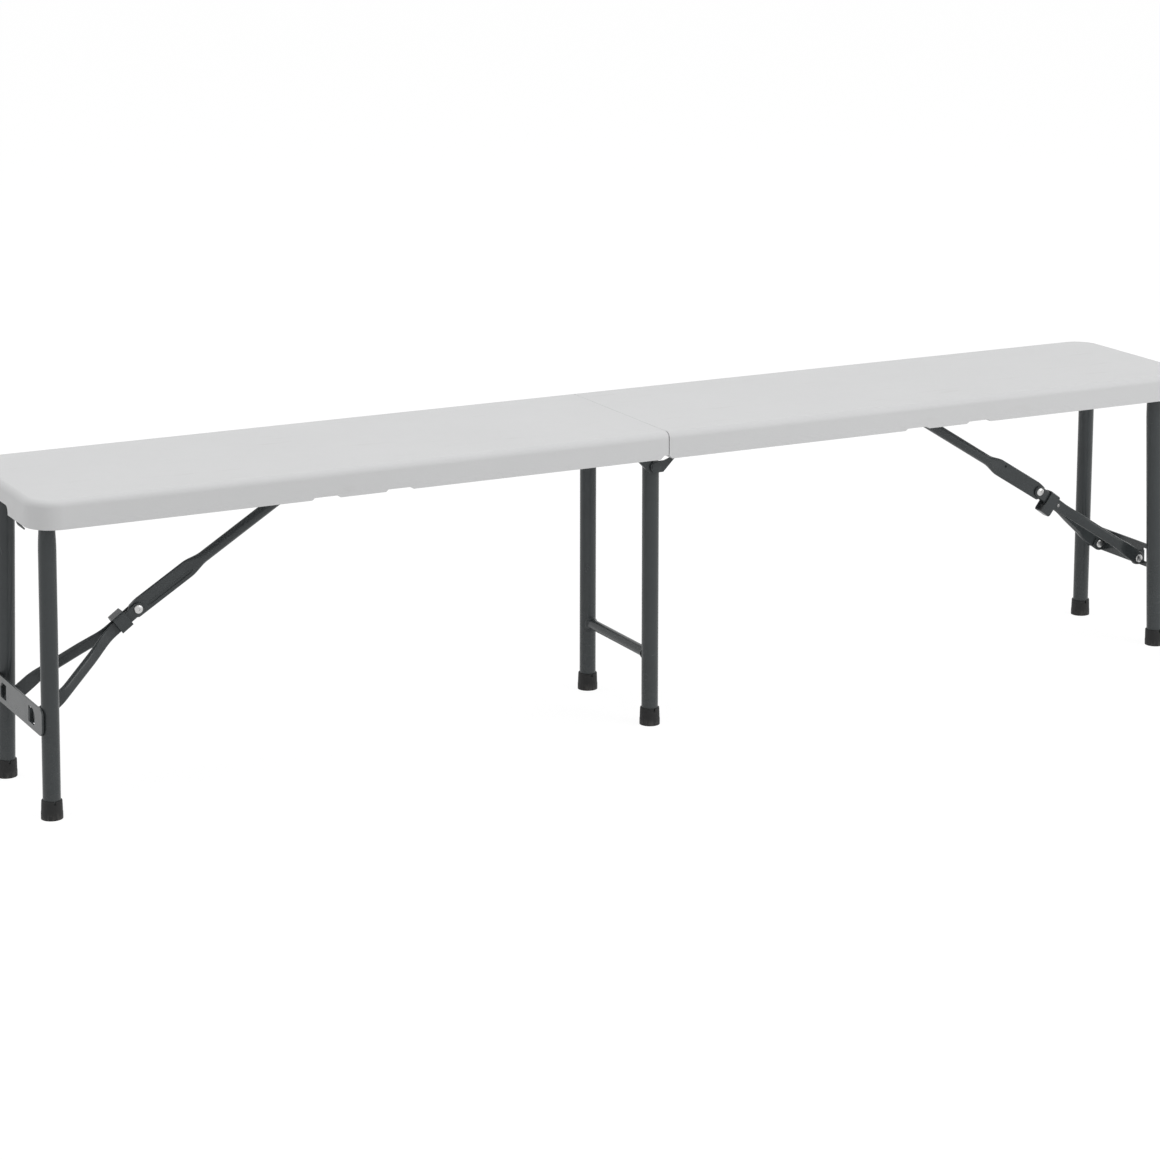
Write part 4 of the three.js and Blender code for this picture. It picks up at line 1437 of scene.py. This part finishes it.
@dataclass
class Brackets:
    """What is screwed up to the deck of one seat half: leg bearings, brace bracket, hinge plates."""

    side: Side
    finishes: Finishes
    screws: Screws
    flange_top: float = 423.7
    flange: float = 2.5
    ear: float = 3.0
    bearing_out: float = 862.0
    bearing_low: float = 404.0
    bearing_y: float = 96.6
    bearing_reach: float = 25.0
    hinge_height: float = 375.0
    hinge_y: float = 105.85
    skirt: float = 393.0
    rod_out: float = 446.0
    rod_height: float = 405.0
    saddle_half: float = 28.0

    @property
    def body(self) -> str:
        """The body that the brackets ride on."""
        return "seat_" + self.side.tag

    @property
    def flange_bottom(self) -> float:
        """The flanges' lower face."""
        return self.flange_top - self.flange

    def build(self) -> None:
        """Models every bracket of the half."""
        for face in Face:
            self._bearing(face)
            self._hinge(face)
        self._brace_bracket()

    def _done(self, piece: Workpiece, face: Face, node: str) -> None:
        """Softens, mirrors and hands over a bracket."""
        piece.soften(0.5, 2, 50)
        piece.placed(mirror(self.side) @ Matrix.Diagonal((1, face.value, 1, 1)))
        piece.hand_over(self.finishes.steel, Slot.STEEL, self.body, node)

    def _fasten(self, node: str, face: Face, spots: Sequence[tuple[float, float]]) -> None:
        """Puts screws under a bracket's flange."""
        for i, (x, y) in enumerate(spots):
            at = (self.side.value * x, face.value * y, self.flange_bottom)
            self.screws.place(f"{node}_screw_{i}", self.body, at, 17 + 41 * i)

    def _bearing(self, face: Face) -> None:
        """A leg rod's bearing: an ear under a flange."""
        node = f"leg_bearing_{self.side.tag}_{face.tag}"
        out, low, near = self.bearing_out, self.bearing_low, self.bearing_y
        outline = rounded(out - 11, low, out + 11, self.flange_top, 3)
        ear = upright_y(node + "_bracket", outline, near, near + self.ear)
        corner = (out + 18, near + self.bearing_reach, self.flange_top)
        plate = Workpiece.block("flange", (out - 18, near, self.flange_bottom), corner)
        plate.pick_edges(
            lambda a, b: min(a.y, b.y) > near + 20 and abs(a.z - b.z) > 1
        ).bevel(6, 5)
        ear.fuse(plate)
        self._done(ear, face, node)
        self._fasten(node, face, [(out - 11, near + 15), (out + 11, near + 15)])

    def _hinge(self, face: Face) -> None:
        """A centre hinge plate with its hanging ear."""
        node = f"hinge_plate_{self.side.tag}_{face.tag}"
        layer = 0 if self.side is Side.LEFT else 1
        near = self.hinge_y + layer * (self.ear + 0.3)
        inside, low, high = 6.45, self.hinge_height - 8.5, self.hinge_height + 7.3
        outline = [
            (27, self.flange_top), (27, high + 5.2), (12, high), (-4.5, high), (-9, high - 4.5),
            (-9, low + 4.5), (-4.5, low), (10, low), (10 + self.skirt - low, self.skirt),
            (inside + 60, self.skirt + 12), (inside + 60, self.flange_top),
        ]
        plate = upright_y(node + "_plate", outline, near, near + self.ear)
        flange = Workpiece.block(
            "flange", (inside, near, self.flange_bottom), (inside + 60, near + self.ear + 16, self.flange_top)
        )
        plate.fuse(flange)
        self._done(plate, face, node)
        self._fasten(node, face, [(inside + 12, near + 12), (inside + 48, near + 12)])

    def _brace_bracket(self) -> None:
        """The bracket and rod that the upper brace turns on."""
        node = "brace_bracket_" + self.side.tag
        out, half = self.rod_out, self.saddle_half
        low = (out - 13, -half - self.flange, self.flange_bottom)
        body = Workpiece.block(node + "_saddle", low, (out + 13, half + self.flange, self.flange_top))
        for face in Face:
            near, far = face.value * half, face.value * (half + self.flange)
            body.fuse(upright_y("ear", rounded(out - 13, 396, out + 13, self.flange_top - 0.2, 3), near, far))
        self._done(body, Face.BACK, node)
        self._fasten(node, Face.BACK, [(out, 17), (out, -17)])
        name = "brace_rod_" + self.side.tag
        profile = [(0, -38), (3.4, -38), (4, -37.4), (4, 37.4), (3.4, 38), (0, 38)]
        rod = Workpiece.turned(name + "_bar", profile, 28)
        rod.placed(mirror(self.side) @ along_y(out, self.rod_height, Face.BACK))
        rod.hand_over(self.finishes.pin, Slot.STEEL, self.body, name)


@dataclass
class CentreFrame:
    """The centre leg frame: two legs on painted hinge pins, with a crossbar between them."""

    finishes: Finishes
    body: str = "centre_leg"
    hinge_height: float = 375.0
    top_half: float = 93.8
    foot_half: float = 95.3
    bar_height: float = 101.0
    bar_radius: float = 7.5
    leg_radius: float = 11.75

    def build(self) -> None:
        """Models the frame."""
        for face in Face:
            Leg(
                name="centre_leg_" + face.tag,
                body=self.body,
                finishes=self.finishes,
                top=(0.0, face.value * self.top_half, self.hinge_height),
                foot=(0.0, face.value * self.foot_half, 0.0),
                top_reach=11.0,
                top_width=23.5,
                taper=22.0,
            ).build()
            self._pin(face)
        self._crossbar()

    def _crossbar(self) -> None:
        """The crossbar, flared into a weld bead where it meets each leg."""
        share = self.bar_height / self.hinge_height
        half = self.foot_half + share * (self.top_half - self.foot_half) - self.leg_radius
        r = self.bar_radius
        flare = [(r + 2.6, -half - 1.6), (r + 2.2, -half + 0.6), (r + 1.1, -half + 1.9), (r, -half + 3)]
        profile = [(0, -half - 1.6), *flare, *[(a, -h) for a, h in reversed(flare)], (0, half + 1.6)]
        tube = Workpiece.turned("centre_crossbar_tube", profile, 40)
        tube.placed(along_y(0, self.bar_height, Face.BACK))
        tube.hand_over(self.finishes.steel, Slot.STEEL, self.body, "centre_crossbar")

    def _pin(self, face: Face) -> None:
        """A hinge pin with a domed head at each end."""
        node = "hinge_pin_" + face.tag
        near = self.top_half - self.leg_radius - 0.3
        far = self.top_half + self.leg_radius + 0.9 + 6
        outer = dome(7, far, 1.2)
        inner = [(r, near - (h - far)) for r, h in reversed(outer)]
        pin = Workpiece.turned(node + "_rivet", [*inner, (4, near), (4, far), *outer], 36)
        pin.placed(along_y(0, self.hinge_height, face))
        pin.hand_over(self.finishes.steel, Slot.RIVET, self.body, node)


@dataclass(frozen=True)
class Lamp:
    """A soft box, its place and size in metres and its power in watts."""

    name: str
    place: Point
    size: tuple[float, float]
    power: float


@dataclass
class Studio:
    """The camera, the lamps, the pale floor and the sky."""

    camera_place: Point = (-2075.1, -3920.0, 1387.2)
    yaw: float = 27.19
    pitch: float = 15.15
    lens: float = 100.39
    sky: float = 0.55
    floor_glow: float = 1.10
    floor_share: float = 0.84
    lamps: tuple[Lamp, ...] = (
        Lamp("top_lamp", (-0.8, 0.1, 4.0), (3.2, 3.2), 54.0),
        Lamp("key_lamp", (2.9, -3.7, 2.5), (2.6, 2.6), 78.0),
        Lamp("left_lamp", (-4.4, 1.6, 1.2), (0.8, 2.2), 9.0),
        Lamp("right_lamp", (4.6, 1.0, 1.2), (0.8, 2.2), 22.0),
    )

    def build(self) -> None:
        """Sets up the whole studio."""
        self._camera()
        for lamp in self.lamps:
            self._light(lamp)
        self._floor()
        self._world()
        bpy.context.scene.view_settings.view_transform = "Standard"

    def _camera(self) -> None:
        """The camera at the photograph's place and angle."""
        data = bpy.data.cameras.new("photo_camera")
        data.lens = self.lens
        data.sensor_width = 36.0
        camera = bpy.data.objects.new("photo_camera", data)
        bpy.context.scene.collection.objects.link(camera)
        camera.location = Vector(self.camera_place) * MM
        camera.rotation_euler = (math.radians(90 - self.pitch), 0.0, math.radians(-self.yaw))
        bpy.context.scene.camera = camera

    def _light(self, lamp: Lamp) -> None:
        """Hangs a soft box and aims it at the bench."""
        data = bpy.data.lights.new(lamp.name, "AREA")
        data.shape = "RECTANGLE"
        data.size, data.size_y = lamp.size
        data.energy = lamp.power
        box = bpy.data.objects.new(lamp.name, data)
        bpy.context.scene.collection.objects.link(box)
        box.location = lamp.place
        aim = Vector((0, 0, 0.3)) - Vector(lamp.place)
        box.rotation_euler = aim.to_track_quat("-Z", "Y").to_euler()

    def _straight_rays(self, tree: ShaderTree) -> Signal:
        """1 for the rays that see the backdrop: the camera's, and those off metal and through glass."""
        kinds = ("Is Camera Ray", "Is Glossy Ray", "Is Transmission Ray")
        seen, shine, through = (tree.node("ShaderNodeLightPath", {}, {}, kind) for kind in kinds)
        return seen + shine + through

    def _floor(self) -> None:
        """A wide pale floor that keeps the bench's shadow, and is clear when seen from below."""
        calm()
        bpy.ops.mesh.primitive_plane_add(size=40, location=(0, 0, 0))
        floor = bpy.context.object
        floor.name = "studio_floor"
        tree = ShaderTree("studio_floor")
        diffuse = tree.node("ShaderNodeBsdfDiffuse", {}, {"Color": grey(0.8)})
        white = tree.node("ShaderNodeEmission", {}, {"Color": grey(1.0), "Strength": self.floor_glow})
        share = self._straight_rays(tree) * self.floor_share
        lit = tree.node("ShaderNodeMixShader", {}, {0: share, 1: diffuse, 2: white})
        below = tree.node("ShaderNodeNewGeometry", {}, {}, "Backfacing")
        clear = tree.node("ShaderNodeBsdfTransparent", {}, {})
        tree.node_out(tree.node("ShaderNodeMixShader", {}, {0: below, 1: lit, 2: clear}))
        floor.data.materials.append(tree.material)
        calm()

    def _world(self) -> None:
        """A plain sky, white to the camera and in reflections."""
        tree = ShaderTree("studio_sky", world=True)
        light = tree.node("ShaderNodeBackground", {}, {"Color": grey(1.0), "Strength": self.sky})
        white = tree.node("ShaderNodeBackground", {}, {"Color": grey(1.0), "Strength": 1.0})
        inputs = {0: self._straight_rays(tree), 1: light, 2: white}
        tree.node_out(tree.node("ShaderNodeMixShader", {}, inputs), "ShaderNodeOutputWorld")
        bpy.context.scene.world = tree.material


def main() -> None:
    """Loads the frame and builds the sub-assemblies in order."""
    logging.basicConfig(level=logging.INFO, format="%(name)s %(message)s")
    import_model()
    Studio().build()
    finishes = Finishes.made()
    screws = Screws(finishes)
    for side in Side:
        SeatHalf(side, finishes).build()
        EndFrame(side, finishes).build()
        Brace(side, finishes).build()
        Brackets(side, finishes, screws).build()
    CentreFrame(finishes).build()
    screws.clear()


if __name__ == "__main__":
    main()
